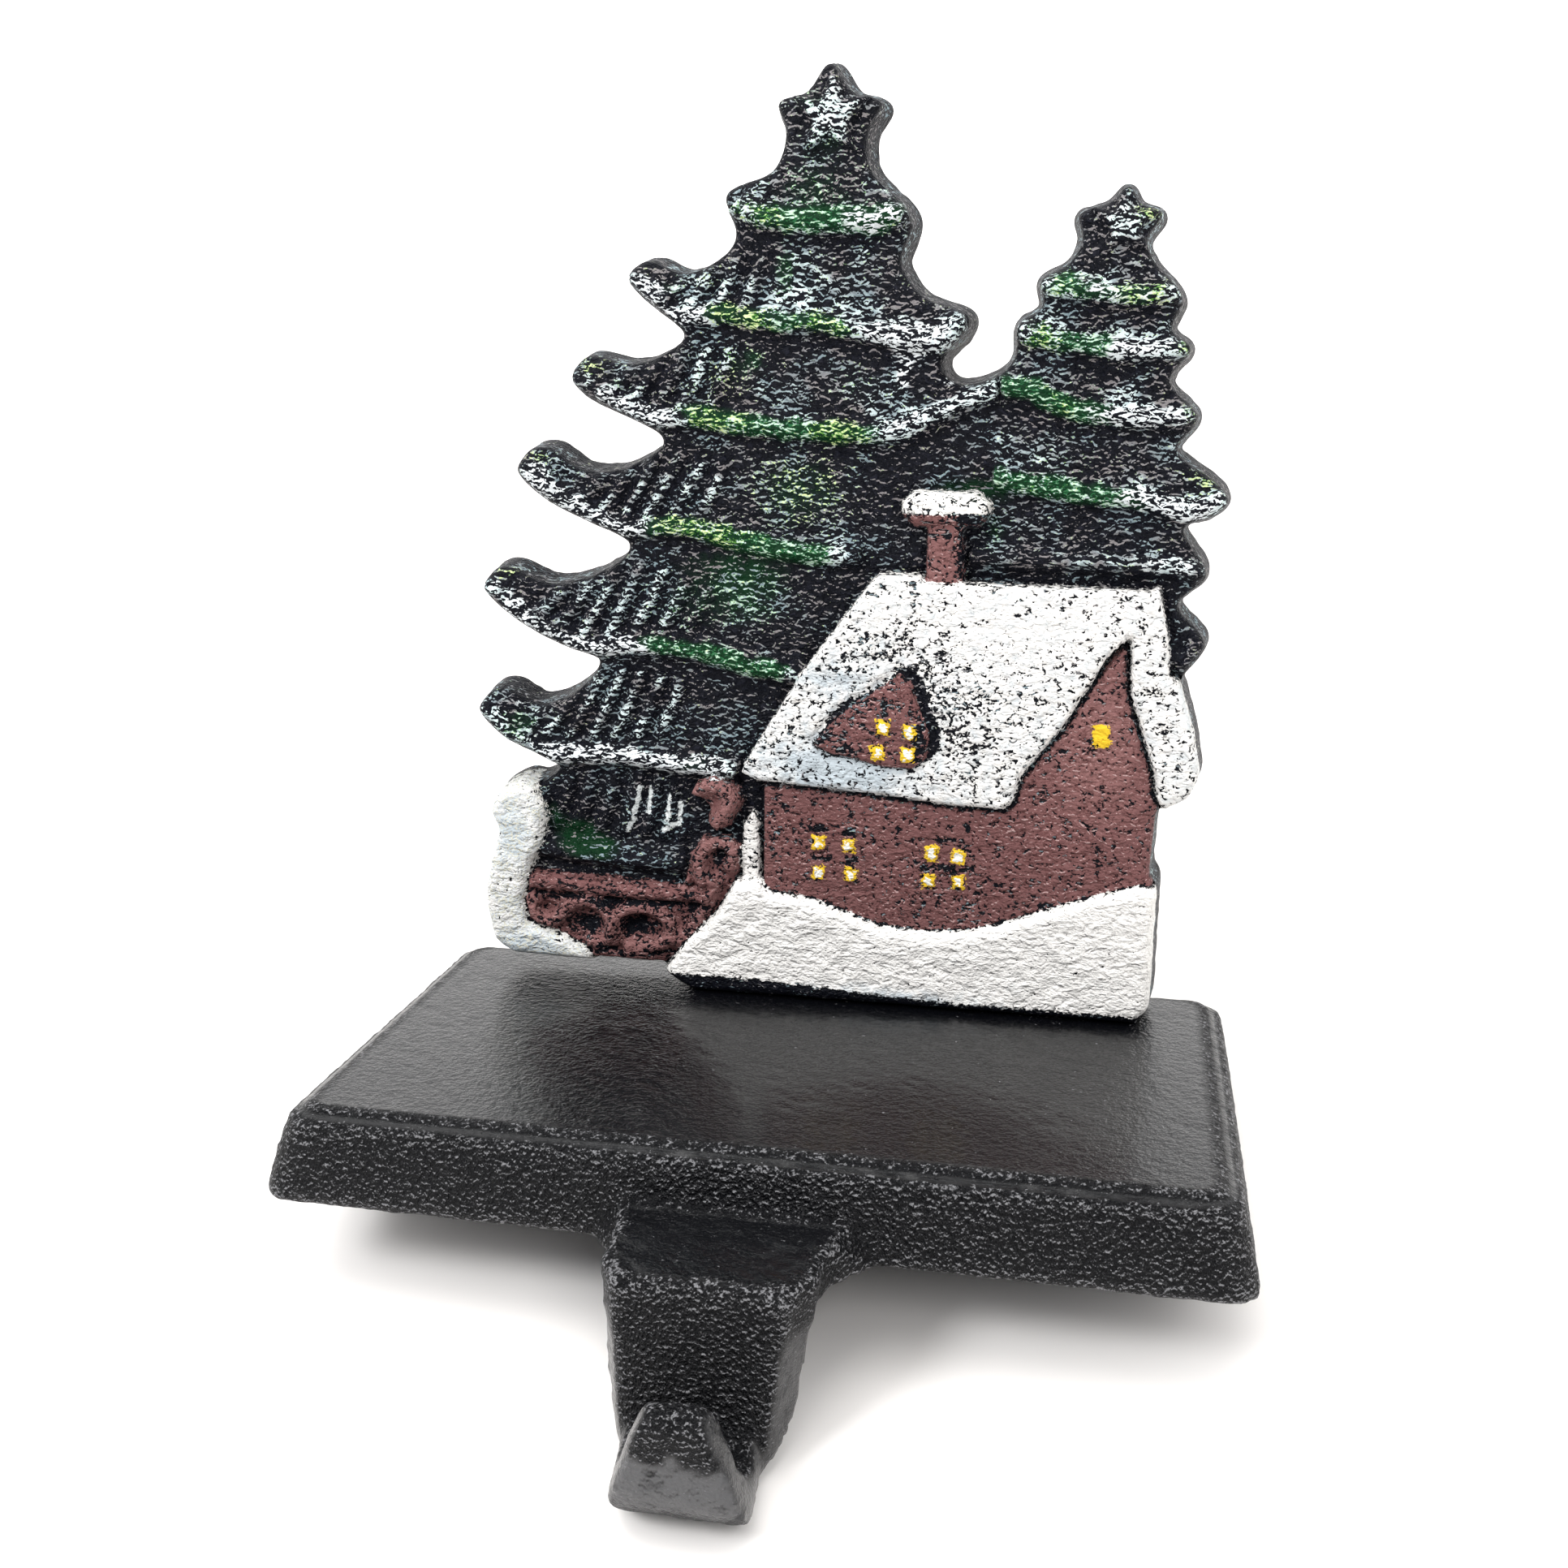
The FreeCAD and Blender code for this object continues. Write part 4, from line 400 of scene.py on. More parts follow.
def to_edge(points, within, beyond=0.6):
    """The points, with those near the plaque's edge taken out past it, so no step runs beside the edge."""
    result = []
    for x, z in points:
        gaps = np.hypot(EDGE[:, 0] - x, EDGE[:, 1] - z)
        closest = int(np.argmin(gaps))
        if gaps[closest] < within:
            ahead = EDGE[(closest + 1) % len(EDGE)] - EDGE[closest - 1]
            x, z = EDGE[closest] + np.array([ahead[1], -ahead[0]]) / np.hypot(*ahead) * beyond
        result.append((float(x), float(z)))
    return result


def carve_trees(x, z, edge):
    """The trees' height, how much the brush caught on them, and where it left lime, green and white."""
    height = np.full(x.shape, 0.15)
    brush = np.zeros(x.shape)
    paint = {"lime": dabs(x, z, LIME_DABS), "green": dabs(x, z, GREEN_DABS), "white": dabs(x, z, WHITE_DABS)}
    for number in reversed(range(len(TIERS))):
        upper, lip = to_edge(TIERS[number][0], 1.9), to_edge(TIERS[number][1], 2.2)
        inside = depth_in(x, z, upper + lip[::-1]) > 0
        above_lip, below_top = to_line(x, z, lip), to_line(x, z, upper)
        share = below_top / (above_lip + below_top + 1e-6)
        level = 0.25 + 0.5 * share ** 1.3 + 1.6 * near(above_lip - 1.9, 1.45)
        level = (level - 0.25 * near(above_lip - 4.8, 1.1)) * (0.05 + 0.95 * dome(above_lip, 1.5))
        height = np.where(inside, level, height - 0.9 * near(above_lip, 0.9))

        on_lip = near(above_lip + 0.5 * lumps(x, z, 1.7, 40 + number) - 2.0, 1.65, 4)
        face = FACE_CATCH[number] * (0.75 + 0.35 * share + 0.35 * lumps(x, z * 1.3, 3.2, 60 + number))
        # Black along each lip's lower edge and under it: the brush missed the undercut, and the line is also
        # painted shade.
        caught = np.maximum(face, LIP_CATCH[number] * on_lip) - 0.6 * (1 - ramp(above_lip, 0, 0.8))
        if number == DARK_TIER:
            caught = caught - 0.7 * ramp(x, 2.5, 6.0)
        brush = np.where(inside, caught, brush - 1.1 * near(above_lip, 1.1))
        drift = x + 2.0 * lumps(x, z, 2.6, 80 + number) + 0.8 * lumps(x, z, 0.9, 100 + number)
        for tier, colour, start, stop, strength in LIP_PAINT:
            if tier == number:
                along = ramp(drift, start - 2.5, start + 2.5) * (1 - ramp(drift, stop - 2.5, stop + 2.5))
                paint[colour] = paint[colour] + strength * along * on_lip * inside
    for place in STARS:
        star = depth_in(x, z, to_edge(star_outline(*place), 1.2))
        height = np.maximum(height, np.where(star > 0, 0.5 + 1.2 * dome(star, 2.0), 0))
        brush = np.maximum(brush, ramp(star, 0.0, 1.0))
    for upper, lower in NEEDLES:
        reach = np.array(upper) - np.array(lower)
        (x1, z1), (x2, z2) = upper + 0.075 * reach, lower - 0.15 * reach
        away = to_line(x, z, smooth_run([(x1, z1), ((x1 + x2) / 2 + 0.25, (z1 + z2) / 2), (x2, z2)], 3))
        above_sleigh = lower[1] > SLEIGH_TOP
        height = height + 0.6 * near(away, 0.75) - 0.28 * near(away - 1.6, 0.5)
        caught = (0.85 if above_sleigh else 0.3) * near(away, 0.85, 4) * (0.8 + 0.4 * lumps(x, z, 1.6, 9))
        brush = np.maximum(brush, caught) - 0.5 * near(away - 1.7, 0.55) * above_sleigh
    brush = brush - dabs(x, z, BETWEEN_TREES)
    # The branches' tips on the left keep a dark rim round their paint.
    brush = brush - 0.55 * near(np.maximum(edge, 0), 2.0) * ramp(-x, 12.0, 22.0)
    brush = np.maximum(brush, 0.40 * near(edge - 1.0, 1.4) * (z > 36))
    brush = brush - 0.4 * ramp(x, 48.0, 50.0) * (1 - ramp(z, 64.0, 68.0))
    return height, brush, paint


def relief(x, z):
    """Height of the picture in front of the slab, and how it is painted, at each place."""
    edge = depth_in(x, z, EDGE)
    height, brush, paint = carve_trees(x, z, edge)

    walls, roof, bank, runner = (depth_in(x, z, to_edge(outline, 1.3))
                                 for outline in (WALLS, ROOF, SNOW_BANK, SLEIGH_BACK))
    dormer, stack, cap, strip, side, rail, post, head = (
        depth_in(x, z, outline) for outline in (DORMER, CHIMNEY_STACK, CHIMNEY_CAP, SNOW_STRIP, SLEIGH_SIDE,
                                                SLEIGH_RAIL, SLEIGH_POST, SCROLL_HEAD))
    attic = depth_in_panes(x, z, [ATTIC_PANE], ATTIC_SIZE)
    panes = np.maximum(depth_in_panes(x, z, WALL_PANES + DORMER_PANES, PANE), attic)

    # A groove runs round the walls, the roof, the chimney, the sleigh's back, its scroll head and its post.
    for depth in (walls, roof, cap, stack, runner, head, post):
        height = height - 0.35 * near(np.minimum(depth, 0), 0.7) * (depth < 0)
    height = raised(height, walls, 2.6, 0.7, FOOT)
    height = height - 0.9 * near(roof, 0.7) * (roof < 0) * (walls > 0)
    tilt = 3.35 + 0.35 * np.clip((65 - z) / 32, 0, 1)
    height = np.where(roof > 0, np.maximum(height, tilt * (0.5 + 0.5 * dome(roof, 0.9))), height)
    height = height - 0.5 * near(dormer + 0.5, 0.6) * (roof > 0)
    for depth, rise, radius, foot in ((dormer, 4.1, 0.5, 0.8), (stack, 2.5, 1.2, FOOT), (cap, 3.5, 1.8, 0.2),
                                      (bank, 4.0, 1.6, FOOT), (strip, 1.6, 0.9, FOOT), (side, 1.1, 0.5, FOOT),
                                      (rail, 2.7, 1.0, FOOT), (post, 1.6, 1.2, FOOT), (head, 2.5, 1.6, FOOT),
                                      (runner, 3.1, 2.0, 0.3)):
        height = raised(height, depth, rise, radius, foot)
    carved = np.zeros(x.shape)
    for half, rise, line in STRANDS:
        strand = near(to_line(x, z, smooth_run(line, 4)), half, 4)
        carved = np.maximum(carved, strand)
        height = height + np.where((side > 0) | (post > -0.6) | (head > 0), 1.5 * rise * strand, 0)
    for centre_x, centre_z, reach_x, reach_z in HOLLOWS:
        height = height - 0.7 * near(x - centre_x, reach_x, 4) * near(z - centre_z, reach_z, 4)
    height = height + 0.5 * near(to_line(x, z, SLEIGH_LEDGE), 0.5) * (side < 0)
    height = height + 0.35 * dome(panes + 0.2, 0.5)

    # Black in the snow round the dormer, widened at its right and top left as painted shade.
    bare_and_shade = 1.5 * ramp(x, 11.5, 14.0) * ramp(z, 38.0, 41.0) + dabs(x, z, DORMER_SHADE_DABS)
    snow = np.max([np.minimum(roof, -dormer - 0.25 - bare_and_shade), bank, strip, runner,
                   np.minimum(cap, z - CAP_SNOW)], axis=0)
    brown = np.max([np.minimum(walls, -roof - 0.55), dormer, stack, np.minimum(cap, CAP_SNOW - z),
                    np.minimum(side, -runner), rail, post, head], axis=0)
    brown = np.minimum(brown, -bank - 0.1)
    smooth_snow = np.maximum(ramp(bank, -0.4, 0.4), ramp(runner, -0.4, 0.4))
    height += 0.07 * lumps(x, z, 1.5, 5) + 0.05 * lumps(x, z, 0.8, 6)
    height += 0.13 * lumps(x, z * 1.4, 2.4, 7) * np.maximum(smooth_snow, ramp(roof, 0, 0.5))

    # Rounded outer edge: deeper where the relief stands higher.
    radius = 1.3 + 0.1 * np.clip(height, 0, 4)
    part = np.clip(1 - np.maximum(edge, 0) / radius, 0, 1)
    height -= radius * (1 - np.sqrt(np.maximum(1 - part * part, 0)))

    cover = 0.35 + 0.6 * ramp(bank, -0.3, 0.6) + 0.4 * ramp(runner, -0.3, 0.6) - 0.14 * ramp(cap, -0.5, 0.5)
    cover = cover + dabs(x, z, DENSE_SNOW) - dabs(x, z, WORN_SNOW)
    thin = dabs(x, z, THIN_SNOW) + 0.42 * ramp(runner, -0.4, 0.6) + 0.30 * ramp(roof, -0.4, 0.6)
    black_foot = 1.4 * ramp(-x, -20, 10)
    paint.update({
        "snow": snow,
        "snow_cover": np.clip(cover, 0, 1),
        "snow_thin": np.clip(thin, 0, 1),
        "aged": ramp(runner, -0.3, 0.3),
        "foot": ramp(z, 0.9 + black_foot, 2.2 + black_foot),
        "brown": brown,
        # black in the brown, partly painted shade by the panes, under the chimney's cap and beside the dormer
        "brown_bare_and_shade": dabs(x, z, BARE_AND_SHADE_DABS) + 0.10 * (1.0 - ramp(walls, -1.0, 0.0)) + 0.07,
        "brown_pale": np.clip(dabs(x, z, PALE_BROWN) + 0.9 * carved, 0, 1),
        "pane": panes,
        "pane_plain": (attic > -1.5).astype(float),
        "brush": np.clip(brush - 0.9 * ramp(side, -0.5, 0.5) - 0.7 * ramp(-z, -3.4, -2.6), -0.8, 1.2),
        "wash": dabs(x, z, WASH_DABS),
        "stroke": np.min([to_line(x, z, list(line)) for line in STROKES], axis=0),
        "edge": edge,
    })
    return height, paint


def offset_ring(ring, distance):
    """The closed ring moved inwards by a distance."""
    ahead = np.roll(ring, -2, 0) - np.roll(ring, 2, 0)
    inward = np.column_stack([-ahead[:, 1], ahead[:, 0]]) / np.hypot(*ahead.T)[:, None]
    return ring + inward * distance


def paint_points(mesh, paint):
    """Stores how the mesh is painted, a value for each point."""
    for name, values in paint.items():
        mesh.attributes.new(name, "FLOAT", "POINT").data.foreach_set("value", values.astype(np.float32))


FACE_STEP = 0.42  # between points of the plaque's front
SIDE_SHARES = (0.06, 0.2, 0.4, 0.6, 0.8, 0.93, 1.0)  # rings down the plaque's sides, as shares of their depth
SIDE_DRAFT = 0.9  # how far the sides lean out towards the back
BACK_ROUND = 0.25


def face_places():
    """Where the plaque's front has points: on its outline, on rings just inside it, then evenly all over."""
    places = [EDGE]
    for inset_by in (0.12, 0.32, 0.6, 0.95):
        ring = offset_ring(EDGE, inset_by)
        places.append(ring[depth_in(ring[:, 0], ring[:, 1], EDGE) > 0.9 * inset_by])
    x, z = np.meshgrid(np.arange(-56.0, 60.0, FACE_STEP), np.arange(0.2, 136.0, FACE_STEP))
    x = x + (np.arange(x.shape[0]) % 2)[:, None] * FACE_STEP / 2
    field = np.column_stack([x.ravel(), z.ravel()])
    places.append(field[depth_in(field[:, 0], field[:, 1], EDGE) > 1.25])
    return np.vstack(places)


def side_ring(share, height, paint, slab_front, slab_back, seat):
    """One ring of points round the plaque's side, at a share of the way back, and its paint."""
    thick = slab_back - slab_front
    ring = offset_ring(EDGE, -(SIDE_DRAFT * share - (BACK_ROUND if share == 1.0 else 0.0)))
    y = slab_front - height + (thick + height) * share
    rough = 0.09 * lumps(np.arange(len(EDGE)) * EDGE_STEP, y, 1.1, 30)
    ring = ring + (offset_ring(EDGE, 1) - EDGE) * rough[:, None]
    ring_paint = {name: values[:len(EDGE)].copy() for name, values in paint.items()}
    # Snow runs round the edge of the sleigh's back; the other paint ends soon behind the edge.
    for name, fade in (("snow", 0.08), ("brown", 0.6), ("pane", 0.6)):
        ring_paint[name] -= fade * share * thick * (1 + 6 * (EDGE[:, 0] > -40)) + 9.0 * ramp(share, 0.8, 0.93)
    for name in ("lime", "green", "white", "wash"):
        ring_paint[name][:] = 0.0
    ring_paint["brush"][:] = 0.40 - 0.35 * share - 1.2 * ramp(share, 0.5, 0.93)
    ring_paint["edge"] += 2.0
    return np.column_stack([ring[:, 0], y, np.maximum(ring[:, 1], 0) + seat]), ring_paint


def plaque_mesh(name, slab_front, slab_back, seat):
    """The relief plaque: a triangulated front with its heights, drafted sides and a flat back."""
    count = len(EDGE)
    made, _, faces, _, _, _ = delaunay_2d_cdt([Vector(place) for place in face_places()], [],
                                              [list(range(count))], 1, 1e-7)
    front = np.array([tuple(place) for place in made])
    height, paint = relief(front[:, 0], front[:, 1])
    height[:count] = softened(height[:count, None], 12)[:, 0]
    rings = [side_ring(share, height[:count], paint, slab_front, slab_back, seat) for share in SIDE_SHARES]
    vertices = np.vstack([np.column_stack([front[:, 0], slab_front - height, front[:, 1] + seat])]
                         + [places for places, _ in rings])

    around = np.arange(count)
    after = (around + 1) % count
    starts = [0] + [len(front) + number * count for number in range(len(rings))]
    polygons = [tuple(face) for face in faces]
    for upper, lower in zip(starts, starts[1:]):
        quads = np.column_stack([upper + around, lower + around, lower + after, upper + after])
        polygons += [tuple(int(corner) for corner in quad) for quad in quads]
    last = starts[-1] + around
    back = delaunay_2d_cdt([Vector((x, z)) for x, _, z in vertices[last]], [], [list(range(count))], 1, 1e-7)
    polygons += [tuple(int(last[corner]) for corner in reversed(face)) for face in back[2]]

    mesh = bpy.data.meshes.new(name)
    mesh.from_pydata((vertices * MM).tolist(), [], polygons)
    paint_points(mesh, {name: np.concatenate([values] + [ring_paint[name] for _, ring_paint in rings])
                        for name, values in paint.items()})
    mesh.shade_smooth()
    mesh.validate()
    return mesh


# ---- Shaders ----
class Wire:
    """A shader socket that can be reckoned with like a number."""

    def __init__(self, socket):
        self.socket, self.tree = socket, socket.id_data

    def __add__(self, other):
        return calc("ADD", self, other)

    def __sub__(self, other):
        return calc("SUBTRACT", self, other)

    def __mul__(self, other):
        return calc("MULTIPLY", self, other)


def fill(made, values):
    """A node's inputs set or linked, by name or number."""
    for name, value in values.items():
        if isinstance(value, Wire):
            made.id_data.links.new(value.socket, made.inputs[name])
        else:
            made.inputs[name].default_value = value
    return made


def node(tree, kind, output, values=(), **settings):
    """One output of a new shader node with its settings and inputs."""
    made = tree.nodes.new("ShaderNode" + kind)
    for name, value in settings.items():
        setattr(made, name, value)
    return Wire(fill(made, dict(values)).outputs[output])


def calc(operation, *values):
    """A sum, product or other arithmetic on wires and numbers."""
    tree = next(value.tree for value in values if isinstance(value, Wire))
    return node(tree, "Math", 0, dict(enumerate(values)), operation=operation)


def band(value, low, high):
    """Smooth step of a value from 0 at low to 1 at high."""
    return node(value.tree, "MapRange", "Result", {"Value": value, "From Min": low, "From Max": high},
                interpolation_type="SMOOTHSTEP")


def tint(amount, below, above):
    """Colour mixed by an amount: the one below at 0, the one above at 1."""
    return node(amount.tree, "Mix", 2, {0: amount, 6: below, 7: above}, data_type="RGBA")


def blend(amount, below, above):
    """Value mixed by an amount: the one below at 0, the one above at 1."""
    return node(amount.tree, "Mix", 0, {0: amount, 2: below, 3: above})


def noise(place, scale, detail, **more):
    """Random values over the surface."""
    values = {"Vector": place, "Scale": scale, "Detail": detail, **more}
    return node(place.tree, "TexNoise", "Fac", values)


def bumped(height, strength, distance):
    """Normals bent by a height."""
    return node(height.tree, "Bump", "Normal", {"Height": height, "Strength": strength, "Distance": distance})


def layers(tree, *names):
    """Some of the painted mesh's own values."""
    return [node(tree, "Attribute", "Fac", attribute_name=name) for name in names]


def group(name, inputs, outputs):
    """An empty node group with number inputs and outputs; returns it, its inputs and its end."""
    made = bpy.data.node_groups.new(name, "ShaderNodeTree")
    for label, value in inputs.items():
        made.interface.new_socket(label, in_out="INPUT", socket_type="NodeSocketFloat").default_value = value
    for label in outputs:
        made.interface.new_socket(label, in_out="OUTPUT", socket_type="NodeSocketFloat")
    start = made.nodes.new("NodeGroupInput")
    return made, [Wire(start.outputs[label]) for label in inputs], made.nodes.new("NodeGroupOutput")


def use(tree, shared, **values):
    """The outputs of a node group placed in a material with its own values."""
    made = tree.nodes.new("ShaderNodeGroup")
    made.node_tree = shared
    fill(made, {name.replace("_", " "): value for name, value in values.items()})
    return [Wire(output) for output in made.outputs]


def cast_grain_group():
    """Sand-cast grain: its height, the upper flanks of its lumps, and its finest specks."""
    usual = {"Lumps per mm": 1.8, "Stretch": 1.0, "Twist": 0.6}
    tree, (size, stretch, twist), end = group("cast grain", usual, ("Height", "Upper flank", "Specks"))
    wide = node(tree, "CombineXYZ", 0, {"X": stretch, "Y": 1.0, "Z": 1.0})
    place = node(tree, "VectorMath", 0, {0: node(tree, "TexCoord", "Object"), 1: wide}, operation="MULTIPLY")
    per_metre = size * 1000.0
    step = node(tree, "CombineXYZ", 0, {"Z": calc("DIVIDE", 0.33, per_metre)})
    above = node(tree, "VectorMath", 0, {0: place, 1: step}, operation="ADD")
    here, higher = (noise(where, per_metre, 2.0, Roughness=0.55, Distortion=twist)
                    for where in (place, above))
    fine = noise(place, per_metre * 2.3, 1.0)
    fill(end, {"Height": here + fine * 0.35, "Upper flank": here - higher, "Specks": fine})
    return tree


def patches_group():
    """Slow random change over the surface, for worn and thin places."""
    tree, (size,), end = group("slow patches", {"Size mm": 8.0}, ("Broad", "Middle"))
    place = node(tree, "TexCoord", "Object")
    per_metre = calc("DIVIDE", 1000.0, size)
    fill(end, {"Broad": noise(place, per_metre, 2.0), "Middle": noise(place, per_metre * 4.0, 3.0)})
    return tree


CAST_GRAIN = cast_grain_group()
SLOW_PATCHES = patches_group()
GRAIN_MIDDLE = 0.67  # the grain's usual height
ENAMEL_ROUGH = 0.42

ENAMEL = (0.0026, 0.0032, 0.0062, 1.0)
ENAMEL_PALE = (0.011, 0.012, 0.020, 1.0)
ENAMEL_PLATE = (0.0020, 0.0022, 0.0032, 1.0)
ENAMEL_PAINTED_REFLECTION = (0.092, 0.092, 0.095, 1.0)
GRAIN_PAINTED_SHEEN = (0.36, 0.36, 0.37, 1.0)
CREST_PAINTED_GLINT = (0.19, 0.19, 0.20, 1.0)
DUST_WARM = (0.225, 0.210, 0.215, 1.0)
DUST_COOL = (0.210, 0.280, 0.310, 1.0)
BRUSH_WHITE = (0.68, 0.79, 0.80, 1.0)
DAB_WHITE = (0.74, 0.78, 0.80, 1.0)
STROKE_WHITE = (0.72, 0.76, 0.76, 1.0)
BRUSH_GREEN = (0.018, 0.110, 0.040, 1.0)
GREEN_CREST = (0.540, 0.740, 0.580, 1.0)
BRUSH_LIME = (0.070, 0.230, 0.035, 1.0)
LIME_CREST = (0.680, 0.780, 0.400, 1.0)
GREEN_WASH = (0.002, 0.026, 0.008, 1.0)
SNOW = (0.86, 0.84, 0.81, 1.0)
SNOW_BLUE = (0.50, 0.56, 0.60, 1.0)
SNOW_AGED = (0.64, 0.63, 0.54, 1.0)
BARN_BROWN = (0.175, 0.080, 0.078, 1.0)
BROWN_FLANK_HIGHLIGHT = (0.42, 0.28, 0.27, 1.0)
BROWN_LIGHT = (0.245, 0.120, 0.115, 1.0)
BROWN_DEEP = (0.085, 0.030, 0.029, 1.0)
LAMP_YELLOW = (0.80, 0.52, 0.030, 1.0)
PANE_WHITE = (0.86, 0.85, 0.78, 1.0)
STEEL_DARK = (0.42, 0.42, 0.43, 1.0)
STEEL_PALE = (0.56, 0.56, 0.57, 1.0)
FLOOR_CREAM = (0.93, 0.905, 0.885, 1.0)
NO_GLOW, FULL_GLOW = (0.0, 0.0, 0.0, 1.0), (1.0, 1.0, 1.0, 1.0)
STUDIO_DIM, STUDIO_BRIGHT = (0.24, 0.24, 0.25, 1.0), (1.40, 1.40, 1.40, 1.0)


def material(name):
    """A new node material with its Principled shader."""
    made = bpy.data.materials.new(name)
    made.use_nodes = True
    return made, made.node_tree, made.node_tree.nodes["Principled BSDF"]


def painted_relief():
    """Black enamelled sand casting, dry brushed and then painted by hand."""
    made, tree, shader = material("painted_relief")
    height, flank, specks = use(tree, CAST_GRAIN, Lumps_per_mm=1.55, Stretch=0.75)
    bristle_height, bristle_flank, _ = use(tree, CAST_GRAIN, Lumps_per_mm=1.3, Stretch=0.62)
    broad, middle = use(tree, SLOW_PATCHES, Size_mm=7.0)
    brush, edge, wash, green, lime, white, stroke = layers(
        tree, "brush", "edge", "wash", "green", "lime", "white", "stroke")
    ragged = height - GRAIN_MIDDLE
    mixed = middle + (specks - 0.5) * 2.2

    colour = tint(band(height, 0.66, 0.95), ENAMEL, ENAMEL_PALE)
    washed = (wash + green * 0.8) * (middle + 0.35)
    colour = tint(band(washed, 0.2, 0.7), colour, GREEN_WASH)

    # Dry brush: pale paint caught by the upper flanks of the lumps, faint dust where the brush hardly went.
    amount = brush + calc("MAXIMUM", white, green * 0.3) * 0.35 + (broad - 0.5) * 1.3
    amount = calc("MINIMUM", amount, 0.92)
    catch = bristle_flank * 5.5 + (bristle_height - GRAIN_MIDDLE) * 2.8 + amount * 0.8
    strokes = band(catch, 0.66, 0.88) * band(edge + ragged * 2.5, 0.1, 0.6)
    dust = tint(band(broad, 0.42, 0.62), DUST_WARM, DUST_COOL)
    dry = tint(band(amount + (middle - 0.5), 0.35, 0.95), dust, BRUSH_WHITE)
    crest = bristle_height + bristle_flank * 1.4
    green_paint = tint(band(crest, 0.78, 1.0), BRUSH_GREEN, GREEN_CREST)
    lime_paint = tint(band(crest, 0.73, 0.96), BRUSH_LIME, LIME_CREST)
    dry = tint(band(green + (mixed - 0.72), 0.15, 0.60), dry, green_paint)
    dry = tint(band(lime + (mixed - 0.66), 0.15, 0.60), dry, lime_paint)
    dry = tint(band(white + (middle - 0.65), 0.25, 0.65), dry, DAB_WHITE)
    colour = tint(strokes, colour, dry)
    colour = tint(band(stroke + ragged * 1.2, 0.42, 0.25), colour, STROKE_WHITE)

    # Brown paint, with pits left black and black patches that are partly painted shade;
    # painted highlights on the lumps' upper flanks.
    in_brown, bare_and_shade, pale = layers(tree, "brown", "brown_bare_and_shade", "brown_pale")
    brown = tint(pale, BARN_BROWN, BROWN_LIGHT)
    brown = tint(band(height, 0.42, 0.72), BROWN_DEEP, brown)
    brown = tint(band(flank + broad * 0.12, 0.185, 0.235), brown, BROWN_FLANK_HIGHLIGHT)
    filled = band(height + middle * 0.5 - bare_and_shade * 0.32, 0.745, 0.80)
    brown_mask = band(in_brown + ragged * 1.6, 0.0, 0.14) * filled
    colour = tint(brown_mask, colour, brown)

    # Snow: thick and cream on the bank, broken by black specks on the roof.
    in_snow, cover, thin, aged, foot = layers(tree, "snow", "snow_cover", "snow_thin", "aged", "foot")
    snow = tint(band(thin + (middle - 0.6), 0.0, 0.7), SNOW, SNOW_BLUE)
    snow = tint(aged * band(mixed, 0.50, 0.80), snow, SNOW_AGED)
    filled = band(height + middle * 0.45 + cover * 0.26, 0.845, 0.905)
    snow_mask = band(in_snow + ragged * 1.8, 0.0, 0.14) * filled * band(foot + ragged * 1.8, 0.35, 0.6)
    colour = tint(snow_mask, colour, snow)

    # Window panes: yellow with a white dab in the middle of each.
    pane, plain = layers(tree, "pane", "pane_plain")
    in_pane = pane + ragged * 1.8
    pane_mask = band(in_pane, -0.12, 0.05)
    dab = band(in_pane + (middle - 0.5), 0.36, 0.52) * calc("SUBTRACT", 1.0, plain)
    colour = tint(pane_mask, colour, tint(dab, LAMP_YELLOW, PANE_WHITE))

    painted = calc("MAXIMUM", calc("MAXIMUM", brown_mask, snow_mask), pane_mask)
    wrinkles = use(tree, CAST_GRAIN, Lumps_per_mm=0.85, Stretch=0.6)[0] * 1.1
    skin = blend(painted, height, wrinkles + height * 0.5)
    fill(shader, {"Base Color": colour, "Roughness": painted * 0.2 + ENAMEL_ROUGH + strokes * 0.15,
                  "Normal": bumped(skin, 1.0, 0.7 * MM), "Specular IOR Level": 0.1})
    return made


def black_enamel():
    """Black enamel: orange peel where it lies smooth, sand grain with painted glints on the skirts and the
    hook.
    """
    made, tree, shader = material("black_enamel")
    height, flank, _ = use(tree, CAST_GRAIN, Lumps_per_mm=1.7, Stretch=1.0, Twist=0.1)
    peel_height, peel_flank, _ = use(tree, CAST_GRAIN, Lumps_per_mm=1.1, Stretch=1.0, Twist=0.2)
    _, middle = use(tree, SLOW_PATCHES, Size_mm=14.0)
    smooth, ridge_highlight, painted_reflection = layers(tree, "smooth", "ridge_highlight", "painted_reflection")
    # Painted glints: grey on the grain's crests and upper flanks and along the ridges, for light caught on
    # the grain.
    crest = (height - 0.675) * 0.8 + ridge_highlight * 0.20 + flank * 2.4 - smooth * 0.36
    # Grey low on the prong and on the leg's sides: a painted reflection of the floor and the studio.
    colour = tint(painted_reflection * band(middle + peel_flank * 0.8, 0.14, 0.50), ENAMEL_PLATE, ENAMEL_PAINTED_REFLECTION)
    colour = tint(band(crest, 0.0, 0.30) * 0.05, colour, GRAIN_PAINTED_SHEEN)
    colour = tint(band(crest, 0.22, 0.56), colour, CREST_PAINTED_GLINT)
    skin = blend(smooth, height, peel_height * 0.45)
    fill(shader, {"Base Color": colour, "Roughness": smooth * -0.22 + ENAMEL_ROUGH + middle * 0.08,
                  "Normal": bumped(skin, 1.0, 0.9 * MM), "Specular IOR Level": 0.15,
                  "Coat Weight": (smooth - painted_reflection) * 0.5, "Coat Roughness": 0.20})
    return made


